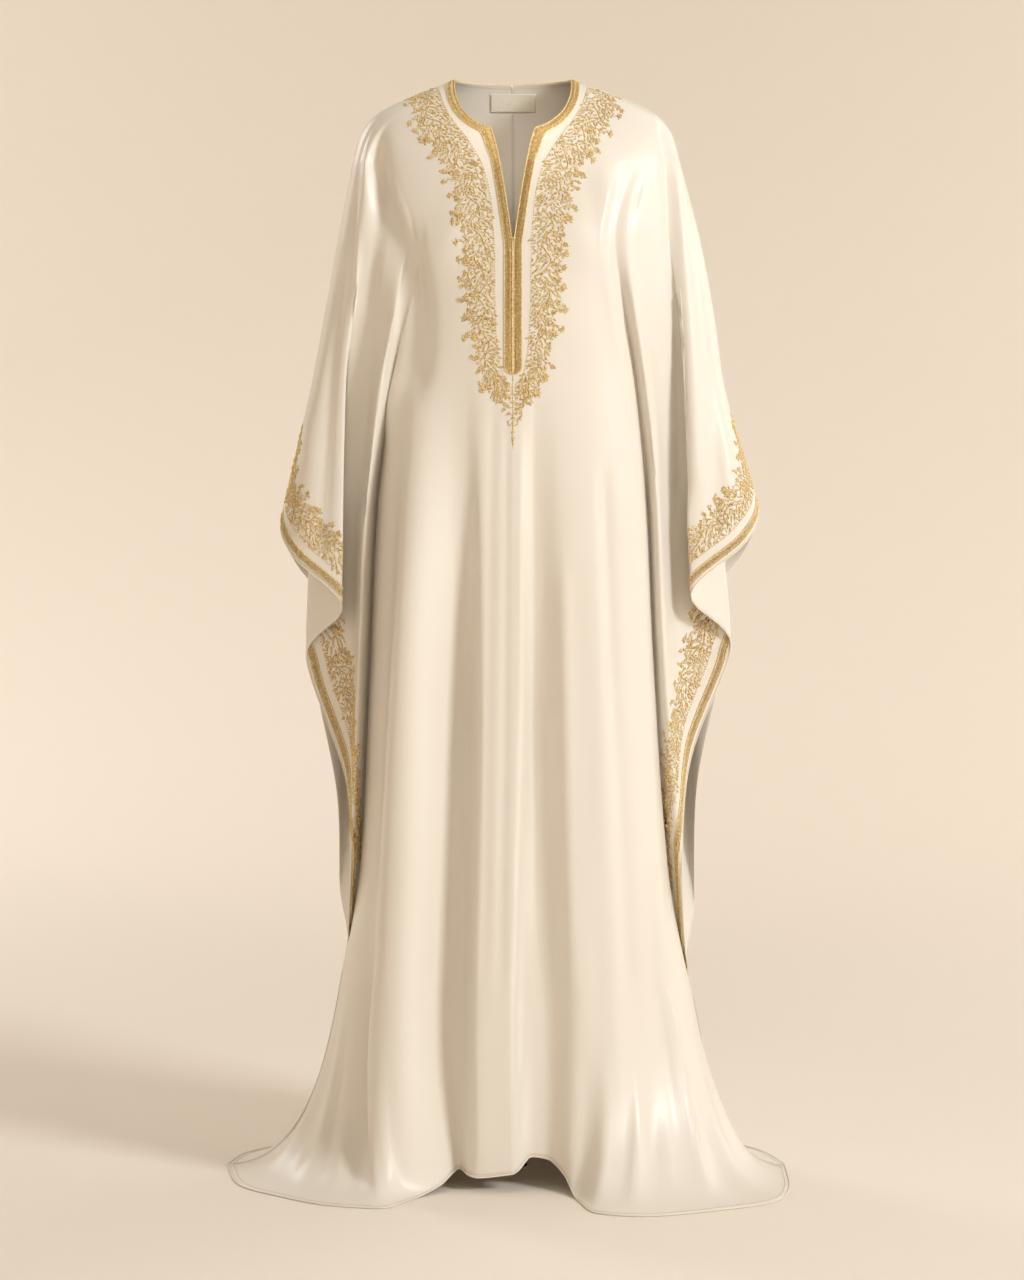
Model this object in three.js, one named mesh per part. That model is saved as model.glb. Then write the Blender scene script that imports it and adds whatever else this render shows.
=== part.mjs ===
// A full-length kaftan in satin with gold braid, filled out as if worn, with nobody in it.
// Millimetres, +Z up, the front faces -Y and +X is the viewer's right. The origin lies midway
// between the two points where the neckline meets the shoulder seams, at their height.
//
// The front is one piece slit from the neck, the back is two pieces, and the sleeves are cut in one
// with them. Every piece is a thin wall over one grid: columns fan out from the neckline, the first
// down the centre and the last along the shoulder and the top of the arm, and rows run from the
// neckline to the sleeve's edge and the hem.

import * as THREE from 'three';

// ---------------------------------------------------------------- driving sizes
const FLOOR = -1450;         // ground level: shoulder point to floor
const WALL = 1.2;            // satin with its narrow turnings
const SEAM_GAP = 0.3;        // space between two pieces at a seam
const NECK_HALF_WIDTH = 76;
const YOKE_BASE = -110;      // below this the cloth hangs in level sections
const BODY_LEVEL = -1170;    // centre height of the row where the side seams start
const SLIT_END = -387;
const SLIT_GAP = 0.8;        // half the gap of the closed slit
const BRAID_WIDTH = 11;
const BRAID_THICK = 1.2;
const EDGE_MARGIN = 4;       // plain cloth outside the braid on a sleeve's edge
const EDGE_BRAID = 10;
const LABEL = { width: 61, height: 24, top: -14, thick: 0.6, clear: 0.6 };
const HOOK = { width: 7, height: 1.8, thick: 1.4, clear: 0.9, heights: [-214, -280, -314] };

// Columns across the body, as parts of the way from the braid's inner edge to the side line.
const BODY_PARTS = [0.07, 0.14, 0.19, 0.25, 0.31, 0.38, 0.45, 0.53, 0.62, 0.72, 0.82, 0.92, 1];
const WING_STEPS = 2;        // columns between two of the wing's lines
// Rows of the yoke, of the hanging part and of the skirt below the side seam's start.
const YOKE_PARTS = [0.25, 0.5, 0.75, 1];
const HANG_PARTS = [0.05, 0.1, 0.15, 0.205, 0.2613, 0.33, 0.4, 0.47, 0.55, 0.63, 0.71, 0.79, 0.87, 0.94];
const SKIRT_PARTS = [0.2, 0.38, 0.54, 0.68, 0.8, 0.9, 1];

// The seven lines that fold a sleeve's hanging cloth, from the body's side out to the arm's top.
const LINES = ['side', 'crest', 'hollow', 'outer', 'inner', 'arm', 'over'];

// Front neckline, from the top of the slit to the shoulder: out from the centre, and height.
const NECKLINE = [
  { out: 29, z: -69 }, { out: 41, z: -65 }, { out: 56, z: -55 }, { out: 68, z: -41 },
  { out: 75, z: -24 }, { out: 77, z: -10 }, { out: NECK_HALF_WIDTH, z: 0 },
];
const SLIT = [
  { z: -69, half: 29 }, { z: -84, half: 24 }, { z: -125, half: 15.5 }, { z: -160, half: 9.5 },
  { z: -211, half: 2.2 }, { z: -222, half: SLIT_GAP }, { z: SLIT_END, half: SLIT_GAP },
];

// Half-width of the shoulders, and how far the front and back stand out at the centre.
const SHOULDERS = [
  { z: 0, left: 76, right: 76 }, { z: -5, left: 89, right: 89 }, { z: -24, left: 138, right: 145 },
  { z: -48, left: 183, right: 192 }, { z: -75, left: 202, right: 211 },
  { z: YOKE_BASE, left: 212, right: 221 },
];
const DEPTHS = [
  { z: 0, front: 6, back: 48 }, { z: -15, front: 27, back: 53 }, { z: -38, front: 50, back: 60 },
  { z: -69, front: 74, back: 68 }, { z: -110, front: 93, back: 78 }, { z: -160, front: 108, back: 86 },
  { z: -213, front: 119, back: 92 }, { z: -250, front: 123, back: 94 }, { z: -300, front: 122, back: 94 },
  { z: -400, front: 119, back: 94 }, { z: -577, front: 122, back: 98 }, { z: -770, front: 128, back: 108 },
  { z: -1030, front: 142, back: 130 }, { z: -1200, front: 154, back: 150 },
];

// Sections through the hanging sleeves: each line's [out from the centre, away from the arm's plane].
const WINGS = {
  left: [
    { z: -110, side: [160, 67], crest: [173, 61],
      hollow: [184, 54], outer: [194, 46], inner: [201, 37], arm: [208, 24], over: 212 },
    { z: -213, side: [128, 97], crest: [145, 95],
      hollow: [167, 81], outer: [192, 62], inner: [207, 53], arm: [224, 36], over: 232 },
    { z: -300, side: [140, 82], crest: [153, 95],
      hollow: [174, 74], outer: [206, 54], inner: [214, 58], arm: [237, 41], over: 248 },
    { z: -400, side: [157, 52], crest: [172, 86],
      hollow: [191, 54], outer: [232, 38], inner: [220, 61], arm: [254, 46], over: 267 },
    { z: -577, side: [180, 16], crest: [193, 76],
      hollow: [210, 38], outer: [266, 22], inner: [223, 64], arm: [284, 48], over: 308 },
    { z: -770, side: [189, 11], crest: [202, 70],
      hollow: [217, 32], outer: [275, 18], inner: [226, 60], arm: [304, 46], over: 345 },
    { z: -1030, side: [203, 9], crest: [215, 56],
      hollow: [228, 27], outer: [277, 16], inner: [228, 58], arm: [304, 46], over: 345 },
    { z: -1138, side: [219, 7], crest: [237, 48],
      hollow: [245, 25], outer: [277, 16], inner: [228, 58], arm: [304, 46], over: 345 },
    { z: -1149, side: [222, 0], crest: [238, 46],
      hollow: [246, 24], outer: [277, 16], inner: [228, 58], arm: [304, 46], over: 345 },
  ],
  right: [
    { z: -110, side: [160, 67], crest: [175, 61],
      hollow: [188, 55], outer: [200, 47], inner: [208, 39], arm: [216, 26], over: 221 },
    { z: -213, side: [132, 97], crest: [150, 95],
      hollow: [172, 81], outer: [199, 63], inner: [212, 56], arm: [237, 38], over: 248 },
    { z: -300, side: [144, 82], crest: [159, 95],
      hollow: [181, 73], outer: [214, 56], inner: [217, 60], arm: [253, 43], over: 265 },
    { z: -400, side: [160, 54], crest: [175, 87],
      hollow: [196, 55], outer: [238, 39], inner: [221, 63], arm: [265, 48], over: 280 },
    { z: -558, side: [176, 20], crest: [189, 78],
      hollow: [211, 40], outer: [270, 23], inner: [227, 66], arm: [299, 50], over: 325 },
    { z: -750, side: [185, 12], crest: [199, 72],
      hollow: [226, 30], outer: [290, 20], inner: [237, 64], arm: [322, 48], over: 366 },
    { z: -1040, side: [206, 10], crest: [224, 56],
      hollow: [245, 28], outer: [291, 16], inner: [240, 60], arm: [322, 48], over: 366 },
    { z: -1181, side: [232, 7], crest: [251, 47],
      hollow: [261, 25], outer: [291, 16], inner: [240, 60], arm: [322, 48], over: 366 },
    { z: -1192, side: [235, 0], crest: [252, 46],
      hollow: [262, 24], outer: [291, 16], inner: [240, 60], arm: [322, 48], over: 366 },
  ],
  // The back of both sleeves. Each takes the side and over lines of its own side's front.
  back: [
    { z: -110, side: [162, 58], crest: [174, 53],
      hollow: [185, 47], outer: [195, 40], inner: [202, 32], arm: [208, 21], over: 212 },
    { z: -213, side: [152, 70], crest: [166, 68],
      hollow: [180, 60], outer: [198, 50], inner: [208, 46], arm: [224, 32], over: 232 },
    { z: -300, side: [156, 56], crest: [171, 70],
      hollow: [187, 54], outer: [207, 43], inner: [217, 50], arm: [238, 36], over: 248 },
    { z: -400, side: [164, 38], crest: [183, 68],
      hollow: [198, 42], outer: [228, 30], inner: [225, 54], arm: [254, 41], over: 267 },
    { z: -577, side: [180, 14], crest: [204, 64],
      hollow: [219, 32], outer: [257, 18], inner: [232, 56], arm: [284, 42], over: 308 },
    { z: -770, side: [189, 7], crest: [215, 60],
      hollow: [229, 27], outer: [263, 15], inner: [238, 53], arm: [300, 40], over: 345 },
    { z: -1030, side: [204, 3], crest: [229, 48],
      hollow: [240, 22], outer: [264, 13], inner: [239, 52], arm: [300, 40], over: 345 },
    { z: -1150, side: [221, 0], crest: [243, 44],
      hollow: [250, 20], outer: [264, 13], inner: [239, 52], arm: [300, 40], over: 345 },
  ],
};
const BACK_FOLLOWS_SIDE_BELOW = -577;

// Height at which each line meets the sleeve's edge, or for the side line the top of the side seam.
const SLEEVE_EDGES = {
  left: {
    front: { side: -1149, crest: -1029, hollow: -922, outer: -762, inner: -692, arm: -626, over: -577 },
    back: { side: -1149, crest: -1078, hollow: -950, outer: -792, inner: -716, arm: -640, over: -577 },
  },
  right: {
    front: { side: -1192, crest: -1037, hollow: -900, outer: -748, inner: -676, arm: -608, over: -558 },
    back: { side: -1192, crest: -1100, hollow: -935, outer: -776, inner: -700, arm: -622, over: -558 },
  },
};

// Folds down the front and back. Each is a raised or sunk band between two edges, given in x at three
// heights, with a softness for each edge. It starts at a height and reaches its full relief below.
const FOLD_HEIGHTS = [-400, -800, -1170];
const FOLD_GROWTH = 560;
const FOLDS = {
  front: [
    { from: [-148, -158, -176], to: [-104, -112, -128], soft: [15, 15], relief: 13, start: -330 },
    { from: [-86, -92, -114], to: [-58, -60, -68], soft: [14, 7], relief: -12, start: -350 },
    { from: [-46, -50, -56], to: [38, 23, 11], soft: [5, 9], relief: 11, start: -400 },
    { from: [38, 25, 16], to: [66, 54, 54], soft: [10, 14], relief: -8, start: -380 },
    { from: [56, 58, 66], to: [84, 88, 100], soft: [12, 12], relief: 7, start: -420 },
    { from: [150, 172, 190], to: [158, 182, 202], soft: [6, 6], relief: 9, start: -360 },
  ],
  back: [
    { from: [-152, -160, -174], to: [-112, -118, -126], soft: [15, 13], relief: 12, start: -330 },
    { from: [-96, -100, -108], to: [-62, -64, -70], soft: [12, 12], relief: -10, start: -360 },
    { from: [-50, -50, -52], to: [-18, -14, -12], soft: [10, 13], relief: 11, start: -340 },
    { from: [18, 18, 16], to: [44, 48, 52], soft: [10, 12], relief: -9, start: -380 },
    { from: [60, 66, 74], to: [96, 104, 114], soft: [14, 12], relief: 12, start: -350 },
    { from: [128, 136, 146], to: [150, 160, 172], soft: [10, 10], relief: -8, start: -330 },
  ],
};

// The hem in plan: part of the way from the centre to the side seam, out, away from the arm's plane,
// and how far it hangs clear of the ground.
const HEMS = {
  left: {
    front: [
      { at: 0, out: 0, away: 160, lift: 22 }, { at: 0.16, out: 46, away: 163, lift: 18 },
      { at: 0.2, out: 58, away: 156, lift: 20 }, { at: 0.26, out: 70, away: 134, lift: 24 },
      { at: 0.34, out: 94, away: 164, lift: 9 }, { at: 0.44, out: 130, away: 206, lift: 0 },
      { at: 0.54, out: 168, away: 256, lift: 0 }, { at: 0.68, out: 236, away: 240, lift: 0 },
      { at: 0.8, out: 302, away: 189, lift: 0 }, { at: 0.91, out: 360, away: 122, lift: 0 },
      { at: 1, out: 385, away: 0, lift: 0 },
    ],
    back: [
      { at: 0, out: 0, away: 268, lift: 0 }, { at: 0.14, out: 60, away: 276, lift: 0 },
      { at: 0.28, out: 128, away: 266, lift: 0 }, { at: 0.42, out: 190, away: 272, lift: 0 },
      { at: 0.56, out: 250, away: 240, lift: 0 }, { at: 0.68, out: 297, away: 182, lift: 0 },
      { at: 0.78, out: 320, away: 128, lift: 0 }, { at: 0.9, out: 370, away: 62, lift: 0 },
      { at: 1, out: 385, away: 0, lift: 0 },
    ],
  },
  right: {
    front: [
      { at: 0, out: 0, away: 160, lift: 22 }, { at: 0.04, out: 8, away: 156, lift: 27 },
      { at: 0.1, out: 24, away: 140, lift: 41 }, { at: 0.17, out: 46, away: 142, lift: 38 },
      { at: 0.23, out: 68, away: 165, lift: 20 }, { at: 0.29, out: 82, away: 206, lift: 0 },
      { at: 0.38, out: 103, away: 280, lift: 0 }, { at: 0.52, out: 162, away: 299, lift: 0 },
      { at: 0.72, out: 270, away: 262, lift: 0 }, { at: 0.86, out: 346, away: 206, lift: 0 },
      { at: 0.94, out: 364, away: 108, lift: 0 }, { at: 1, out: 366, away: 0, lift: 0 },
    ],
    back: [
      { at: 0, out: 0, away: 268, lift: 0 }, { at: 0.12, out: 56, away: 260, lift: 0 },
      { at: 0.26, out: 120, away: 280, lift: 0 }, { at: 0.4, out: 186, away: 262, lift: 0 },
      { at: 0.54, out: 246, away: 226, lift: 0 }, { at: 0.7, out: 296, away: 150, lift: 0 },
      { at: 0.86, out: 345, away: 76, lift: 0 }, { at: 1, out: 366, away: 0, lift: 0 },
    ],
  },
};
const HANGING_LIFT = 20;     // a hem this clear of the ground hangs straight
const SKIRT_LEAD = 105;      // how far the skirt keeps its direction before it sweeps out
const SKIRT_PROBE = 60;      // height over which that direction is taken
const SWEEP_START = 0.12;    // part of the way out at which the cloth reaches the ground
const RIPPLE = { height: 7, waves: 5.5 };

const SATIN = { color: 0xf0e6d2, roughness: 0.45, metalness: 0 };
const GOLD_BRAID = { color: 0xc9a15a, roughness: 0.5, metalness: 0.3 };
const LABEL_TAPE = { color: 0xeadfca, roughness: 0.6, metalness: 0 };
const HOOK_THREAD = { color: 0xd8c9a6, roughness: 0.5, metalness: 0.1 };

// ---------------------------------------------------------------- curves through tables
const mix = (a, b, t) => a + (b - a) * t;
const clamp01 = (t) => Math.min(1, Math.max(0, t));
const ease = (t) => clamp01(t) ** 2 * (3 - 2 * clamp01(t));

// A curve through (xs, ys) that never overshoots a table's values.
function through(xs, ys, x) {
  const last = xs.length - 1;
  const rising = xs[last] > xs[0];
  if (rising ? x <= xs[0] : x >= xs[0]) return ys[0];
  if (rising ? x >= xs[last] : x <= xs[last]) return ys[last];
  let k = 0;
  while (rising ? x > xs[k + 1] : x < xs[k + 1]) k += 1;
  const slope = (i) => (ys[i + 1] - ys[i]) / (xs[i + 1] - xs[i]);
  const tangent = (i) => {
    if (i === 0) return slope(0);
    if (i === last) return slope(last - 1);
    const [before, after] = [slope(i - 1), slope(i)];
    return before * after <= 0 ? 0 : (2 * before * after) / (before + after);
  };
  const h = xs[k + 1] - xs[k];
  const t = (x - xs[k]) / h;
  const t2 = t * t;
  const t3 = t2 * t;
  return ys[k] * (2 * t3 - 3 * t2 + 1) + tangent(k) * h * (t3 - 2 * t2 + t)
    + ys[k + 1] * (3 * t2 - 2 * t3) + tangent(k + 1) * h * (t3 - t2);
}
const column = (table, name) => table.map((row) => row[name]);
const at = (table, name, z) => through(column(table, 'z'), column(table, name), z);

// ---------------------------------------------------------------- sections of the hanging cloth
const slitHalf = (z) => at(SLIT, 'half', z);
const centreDepth = (face, z) => at(DEPTHS, face, z);

// Where a line of the wing is at a height, as [out, away].
function linePoint(side, face, name, z) {
  const own = WINGS[side];
  const heights = column(own, 'z');
  const ownOver = through(heights, column(own, 'over'), z);
  if (name === 'over') return [ownOver, SEAM_GAP / 2];
  const pair = (table, index) => through(column(table, 'z'), table.map((row) => row[name][index]), z);
  if (face === 'front') return [pair(own, 0), Math.max(pair(own, 1), SEAM_GAP / 2)];
  const table = WINGS.back;
  const away = Math.max(pair(table, 1), SEAM_GAP / 2);
  if (name === 'side') {
    const follow = ease((z - YOKE_BASE) / (BACK_FOLLOWS_SIDE_BELOW - YOKE_BASE));
    const followed = mix(away, pair(own, 1), follow);
    return [mix(pair(table, 0), pair(own, 0), follow), Math.max(followed, SEAM_GAP / 2)];
  }
  const share = LINES.indexOf(name) / (LINES.length - 1);
  const backOver = through(column(table, 'z'), column(table, 'over'), z);
  return [pair(table, 0) + (ownOver - backOver) * Math.sqrt(share), away];
}

// The wing between two lines, as a smooth curve through all of them.
function wingPoint(side, face, place, z) {
  const whole = Math.min(Math.floor(place), LINES.length - 2);
  const t = place - whole;
  const point = (index) => {
    if (index < 0) return bodyPoint(side, face, 0.93, z);
    if (index < LINES.length) return linePoint(side, face, LINES[index], z);
    const [out, away] = linePoint(side, face, 'arm', z);
    return [out, -away];
  };
  const [p0, p1, p2, p3] = [whole - 1, whole, whole + 1, whole + 2].map(point);
  return p1.map((value, axis) => {
    const [a, b, c, d] = [p0[axis], value, p2[axis], p3[axis]];
    return b + 0.5 * t * (c - a + t * (2 * a - 5 * b + 4 * c - d + t * (3 * (b - c) + d - a)));
  });
}

const BODY_POWER = 2.35;
// The body between the centre and the side line: how far it stands out at a distance from the centre.
function bodyAway(side, face, out, z) {
  const [sideOut, sideAway] = linePoint(side, face, 'side', z);
  const depth = centreDepth(face, z);
  const t = Math.min(1, out / sideOut);
  const tucked = ease((z - YOKE_BASE) / (BACK_FOLLOWS_SIDE_BELOW - YOKE_BASE));
  const open = 1 - t ** BODY_POWER;
  const round = (1 - t ** BODY_POWER) ** (1 / BODY_POWER);
  return sideAway + (depth - sideAway) * mix(open, round, tucked);
}

function foldRelief(face, x, z) {
  return FOLDS[face].reduce((sum, fold) => {
    const from = through(FOLD_HEIGHTS, fold.from, z);
    const to = through(FOLD_HEIGHTS, fold.to, z);
    const rise = 0.5 * (1 + Math.tanh((x - from) / fold.soft[0]));
    const fall = 0.5 * (1 + Math.tanh((to - x) / fold.soft[1]));
    return sum + fold.relief * ease((fold.start - z) / FOLD_GROWTH) * rise * fall;
  }, 0);
}

const BODY_SAMPLES = 48;     // steps in which an arc's length is measured
// The body's point a part of the way along its arc from the braid's inner edge to the side line.
function bodyPoint(side, face, part, z) {
  const first = bodyStart(face, z) + BRAID_WIDTH;
  const [sideOut] = linePoint(side, face, 'side', z);
  const spread = (k) => 1 - (1 - k / BODY_SAMPLES) ** 2;
  const outs = Array.from({ length: BODY_SAMPLES + 1 }, (_, k) => mix(first, sideOut, spread(k)));
  const arc = [0];
  for (let k = 1; k <= BODY_SAMPLES; k += 1) {
    const rise = bodyAway(side, face, outs[k], z) - bodyAway(side, face, outs[k - 1], z);
    arc.push(arc[k - 1] + Math.hypot(outs[k] - outs[k - 1], rise));
  }
  const target = part * arc[BODY_SAMPLES];
  let k = 0;
  while (k < BODY_SAMPLES - 1 && arc[k + 1] < target) k += 1;
  return bodyAt(side, face, mix(outs[k], outs[k + 1], (target - arc[k]) / (arc[k + 1] - arc[k])), z);
}

const bodyStart = (face, z) => {
  if (face === 'back') return SEAM_GAP / 2;
  return z > SLIT_END + 1 ? slitHalf(z) : 0;
};

// A point of the body at a distance from the centre, with the folds raised square to the surface.
function bodyAt(side, face, out, z) {
  const sign = side === 'left' ? -1 : 1;
  const away = bodyAway(side, face, out, z);
  const [sideOut] = linePoint(side, face, 'side', z);
  const step = Math.min(1, sideOut * 0.01);
  const inner = Math.max(0, Math.min(out, sideOut - step));
  const slope = (bodyAway(side, face, inner + step, z) - bodyAway(side, face, inner, z)) / step;
  const length = Math.hypot(1, slope);
  const nearSide = ease((sideOut - out) / 30);
  const relief = foldRelief(face, sign * out, z) * nearSide;
  const lean = ease(out / 20);
  return [out - (slope / length) * relief * lean, away + relief / length];
}

// ---------------------------------------------------------------- the grid of one quarter
const BODY_COLUMNS = 2 + BODY_PARTS.length;                       // centre, braid edge, then the parts
const COLUMNS = BODY_COLUMNS + (LINES.length - 1) * WING_STEPS;
const SIDE_COLUMN = BODY_COLUMNS - 1;
const BRAID_ROW = 1;
const YOKE_ROW = BRAID_ROW + YOKE_PARTS.length;
const MARGIN_ROW = YOKE_ROW + HANG_PARTS.length + 2;              // between the sleeve's braid and its edge
const EDGE_ROW = MARGIN_ROW + 1;
const HEM_ROW = EDGE_ROW + SKIRT_PARTS.length;
const SLIT_END_ROW = YOKE_ROW + 5;

const wingPlace = (i) => (i - SIDE_COLUMN) / WING_STEPS;

// [out, away] of a column at a height below the yoke.
function sectionPoint(side, face, i, z) {
  if (i > SIDE_COLUMN) return wingPoint(side, face, wingPlace(i), z);
  if (i === SIDE_COLUMN) return linePoint(side, face, 'side', z);
  if (i < 2) return bodyAt(side, face, bodyStart(face, z) + i * BRAID_WIDTH, z);
  return bodyPoint(side, face, BODY_PARTS[i - 2], z);
}

// Height of the row that ends at the sleeve's edge, and how much longer a strip along it stands there.
function edgeHeight(side, face, i) {
  const edges = SLEEVE_EDGES[side][face];
  if (i <= SIDE_COLUMN) return mix(BODY_LEVEL, edges.side, ease(i / SIDE_COLUMN));
  const place = wingPlace(i);
  return through(LINES.map((_, k) => k), LINES.map((name) => edges[name]), place);
}
function edgeSlant(side, face, i) {
  if (i < SIDE_COLUMN) return mix(1, 1.9, i / SIDE_COLUMN);
  const [a, b] = [Math.max(i - 1, SIDE_COLUMN), Math.min(i + 1, COLUMNS - 1)];
  const height = edgeHeight(side, face, i);
  const p = sectionPoint(side, face, a, height);
  const q = sectionPoint(side, face, b, height);
  const run = Math.hypot(q[0] - p[0], q[1] - p[1]);
  return Math.min(2.6, Math.hypot(1, (edgeHeight(side, face, b) - edgeHeight(side, face, a)) / run));
}

// Half-width of the yoke's superellipse, and a yoke point's distance in front of or behind the arm's plane.
const YOKE_POWER = 2.4;
function yokeAway(side, face, out, z) {
  const t = Math.min(1, out / at(SHOULDERS, side, z));
  return Math.max(SEAM_GAP / 2, centreDepth(face, z) * (1 - t ** YOKE_POWER) ** (1 / YOKE_POWER));
}

// How the braid's outer edge meets the shoulder seam: at the back, and the front edge's last direction.
const BACK_BRAID = { spread: 12, rise: 6 };
const FRONT_BRAID_LEAN = { out: 0.93, down: 0.36 };
// Points of the neckline and of the braid's outer edge, as [out, z].
function neckPoint(face, i) {
  if (face === 'back') {
    const part = i === 0 ? 0 : mix(BRAID_WIDTH / NECK_HALF_WIDTH, 1, (i - 1) / (COLUMNS - 2));
    return [Math.max(SEAM_GAP / 2, NECK_HALF_WIDTH * part), -2 * (1 - part)];
  }
  const arc = NECKLINE.map((_, k) => k);
  const place = i === 0 ? 0 : mix(1, NECKLINE.length - 1, (i - 1) / (COLUMNS - 2));
  return [through(arc, column(NECKLINE, 'out'), place), through(arc, column(NECKLINE, 'z'), place)];
}
function braidEdgePoint(side, face, i) {
  const [out, z] = neckPoint(face, i);
  const last = COLUMNS - 1;
  if (i === last) return [SHOULDERS[1][side], SHOULDERS[1].z];
  if (face === 'back') {
    const part = out / NECK_HALF_WIDTH;
    const spread = 1 + BACK_BRAID.spread / NECK_HALF_WIDTH * part ** 2;
    return [Math.max(SEAM_GAP / 2, out * spread), z - BRAID_WIDTH + BACK_BRAID.rise * part ** 3];
  }
  if (i === 0) return [slitHalf(z - BRAID_WIDTH), z - BRAID_WIDTH];
  const before = neckPoint(face, i - 1);
  const after = neckPoint(face, i + 1);
  const [du, dz] = [after[0] - before[0], after[1] - before[1]];
  const length = Math.hypot(du, dz);
  const reach = mix(BRAID_WIDTH - 1.5, BRAID_WIDTH + 1, i / last);
  const turn = ease((i / last - 0.35) / 0.65);
  return [
    out + mix(dz / length, FRONT_BRAID_LEAN.out, turn) * reach,
    z - mix(du / length, FRONT_BRAID_LEAN.down, turn) * reach,
  ];
}

// The shoulder seam from the braid's edge to the top of the arm, at a part of its length.
function shoulderPoint(side, part) {
  const angle = part * Math.PI / 2;
  const end = at(SHOULDERS, side, YOKE_BASE);
  const z = mix(-5, YOKE_BASE, 1 - Math.cos(angle) ** 0.9);
  return [part === 1 ? end : at(SHOULDERS, side, z), z];
}

// A yoke point is blended from its four edges in the view from the front, then given its depth.
function yokePoint(side, face, i, part) {
  const share = i / (COLUMNS - 1);
  const top = (k) => braidEdgePoint(side, face, k);
  const base = (k) => [sectionPoint(side, face, k, YOKE_BASE)[0], YOKE_BASE];
  const last = COLUMNS - 1;
  const startZ = top(0)[1];
  const leftZ = mix(startZ, YOKE_BASE, part);
  const left = [face === 'back' ? SEAM_GAP / 2 : slitHalf(leftZ), leftZ];
  const right = shoulderPoint(side, part);
  const [out, z] = [0, 1].map((axis) => {
    const between = mix(top(i)[axis], base(i)[axis], part);
    const sides = mix(left[axis], right[axis], share);
    const edge = (k) => mix(top(k)[axis], base(k)[axis], part);
    const corners = mix(edge(0), edge(last), share);
    return between + sides - corners;
  });
  const settle = sectionPoint(side, face, i, YOKE_BASE)[1] - yokeAway(side, face, base(i)[0], YOKE_BASE);
  return { out, away: yokeAway(side, face, out, z) + settle * part, z };
}

// The skirt leaves its level section, keeps its direction a while, and sweeps out over the ground.
function skirtPoint(side, face, i, part) {
  const level = edgeHeight(side, face, i);
  const [out, away] = sectionPoint(side, face, i, level);
  const [outAbove, awayAbove] = sectionPoint(side, face, i, level + SKIRT_PROBE);
  const share = i === 0 ? 0 : mix(BRAID_WIDTH / 300, 1, i < 2 ? 0 : BODY_PARTS[i - 2]);
  const hems = HEMS[side][face];
  const hem = (name) => through(column(hems, 'at'), column(hems, name), share);
  const lift = hem('lift');
  const lying = 1 - clamp01(lift / HANGING_LIFT);
  const least = i === 0 ? bodyStart(face, level) : 0;
  const end = { out: Math.max(hem('out'), least), away: hem('away'), z: FLOOR + WALL + lift };
  const lead = SKIRT_LEAD / SKIRT_PROBE;
  const first = {
    out: out + (out - outAbove) * lead,
    away: away + (away - awayAbove) * lead,
    z: level - SKIRT_LEAD,
  };
  const second = {
    out: mix(mix(first.out, end.out, 0.6), mix(first.out, end.out, SWEEP_START), lying),
    away: mix(mix(first.away, end.away, 0.6), mix(first.away, end.away, SWEEP_START), lying),
    z: mix(mix(first.z, end.z, 0.5), FLOOR + WALL + 2, lying),
  };
  const point = {};
  const start = { out, away, z: level };
  for (const axis of ['out', 'away', 'z']) {
    const [a, b, c, d] = [start[axis], first[axis], second[axis], end[axis]];
    const s = 1 - part;
    point[axis] = s * s * s * a + 3 * s * s * part * b + 3 * s * part * part * c + part * part * part * d;
  }
  const wave = 0.5 - 0.5 * Math.cos(2 * Math.PI * RIPPLE.waves * share);
  point.z += lying * RIPPLE.height * wave * Math.sin(Math.PI * part) ** 2;
  if (i === 0) point.out = bodyStart(face, level);
  if (i === SIDE_COLUMN) point.away = SEAM_GAP / 2;
  return point;
}

// A grid point as a vector. Rows past the sleeve's edge exist only from the centre to the side seam.
function gridPoint(side, face, i, j) {
  let point;
  if (j <= BRAID_ROW) {
    const [out, z] = j === 0 ? neckPoint(face, i) : braidEdgePoint(side, face, i);
    point = { out, away: i === COLUMNS - 1 ? SEAM_GAP / 2 : yokeAway(side, face, out, z), z };
  } else if (j <= YOKE_ROW) {
    point = yokePoint(side, face, i, YOKE_PARTS[j - 2]);
  } else if (j <= EDGE_ROW) {
    const edge = edgeHeight(side, face, i);
    const slant = edgeSlant(side, face, i);
    const braidTop = edge + (EDGE_MARGIN + EDGE_BRAID) * slant;
    const heights = [
      ...HANG_PARTS.map((part) => mix(YOKE_BASE, edge, part)).map((z) => Math.max(z, braidTop + 6)),
      braidTop, edge + EDGE_MARGIN * slant, edge,
    ];
    const z = heights[j - YOKE_ROW - 1];
    const [out, away] = sectionPoint(side, face, i, z);
    point = { out, away, z };
  } else {
    point = skirtPoint(side, face, i, SKIRT_PARTS[j - EDGE_ROW - 1]);
  }
  const closed = i === 0 && face === 'front' && j >= SLIT_END_ROW;
  const x = closed ? 0 : point.out * (side === 'left' ? -1 : 1);
  return new THREE.Vector3(x, point.away * (face === 'front' ? -1 : 1), point.z);
}

// ---------------------------------------------------------------- walls over the grid
// Cells of a quarter as [column, row] of their corner nearest the centre and the neck.
function panelCells() {
  const cells = [];
  for (let j = 0; j < HEM_ROW; j += 1) {
    const end = j < EDGE_ROW ? COLUMNS - 1 : SIDE_COLUMN;
    for (let i = 0; i < end; i += 1) cells.push([i, j]);
  }
  return cells;
}

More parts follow.
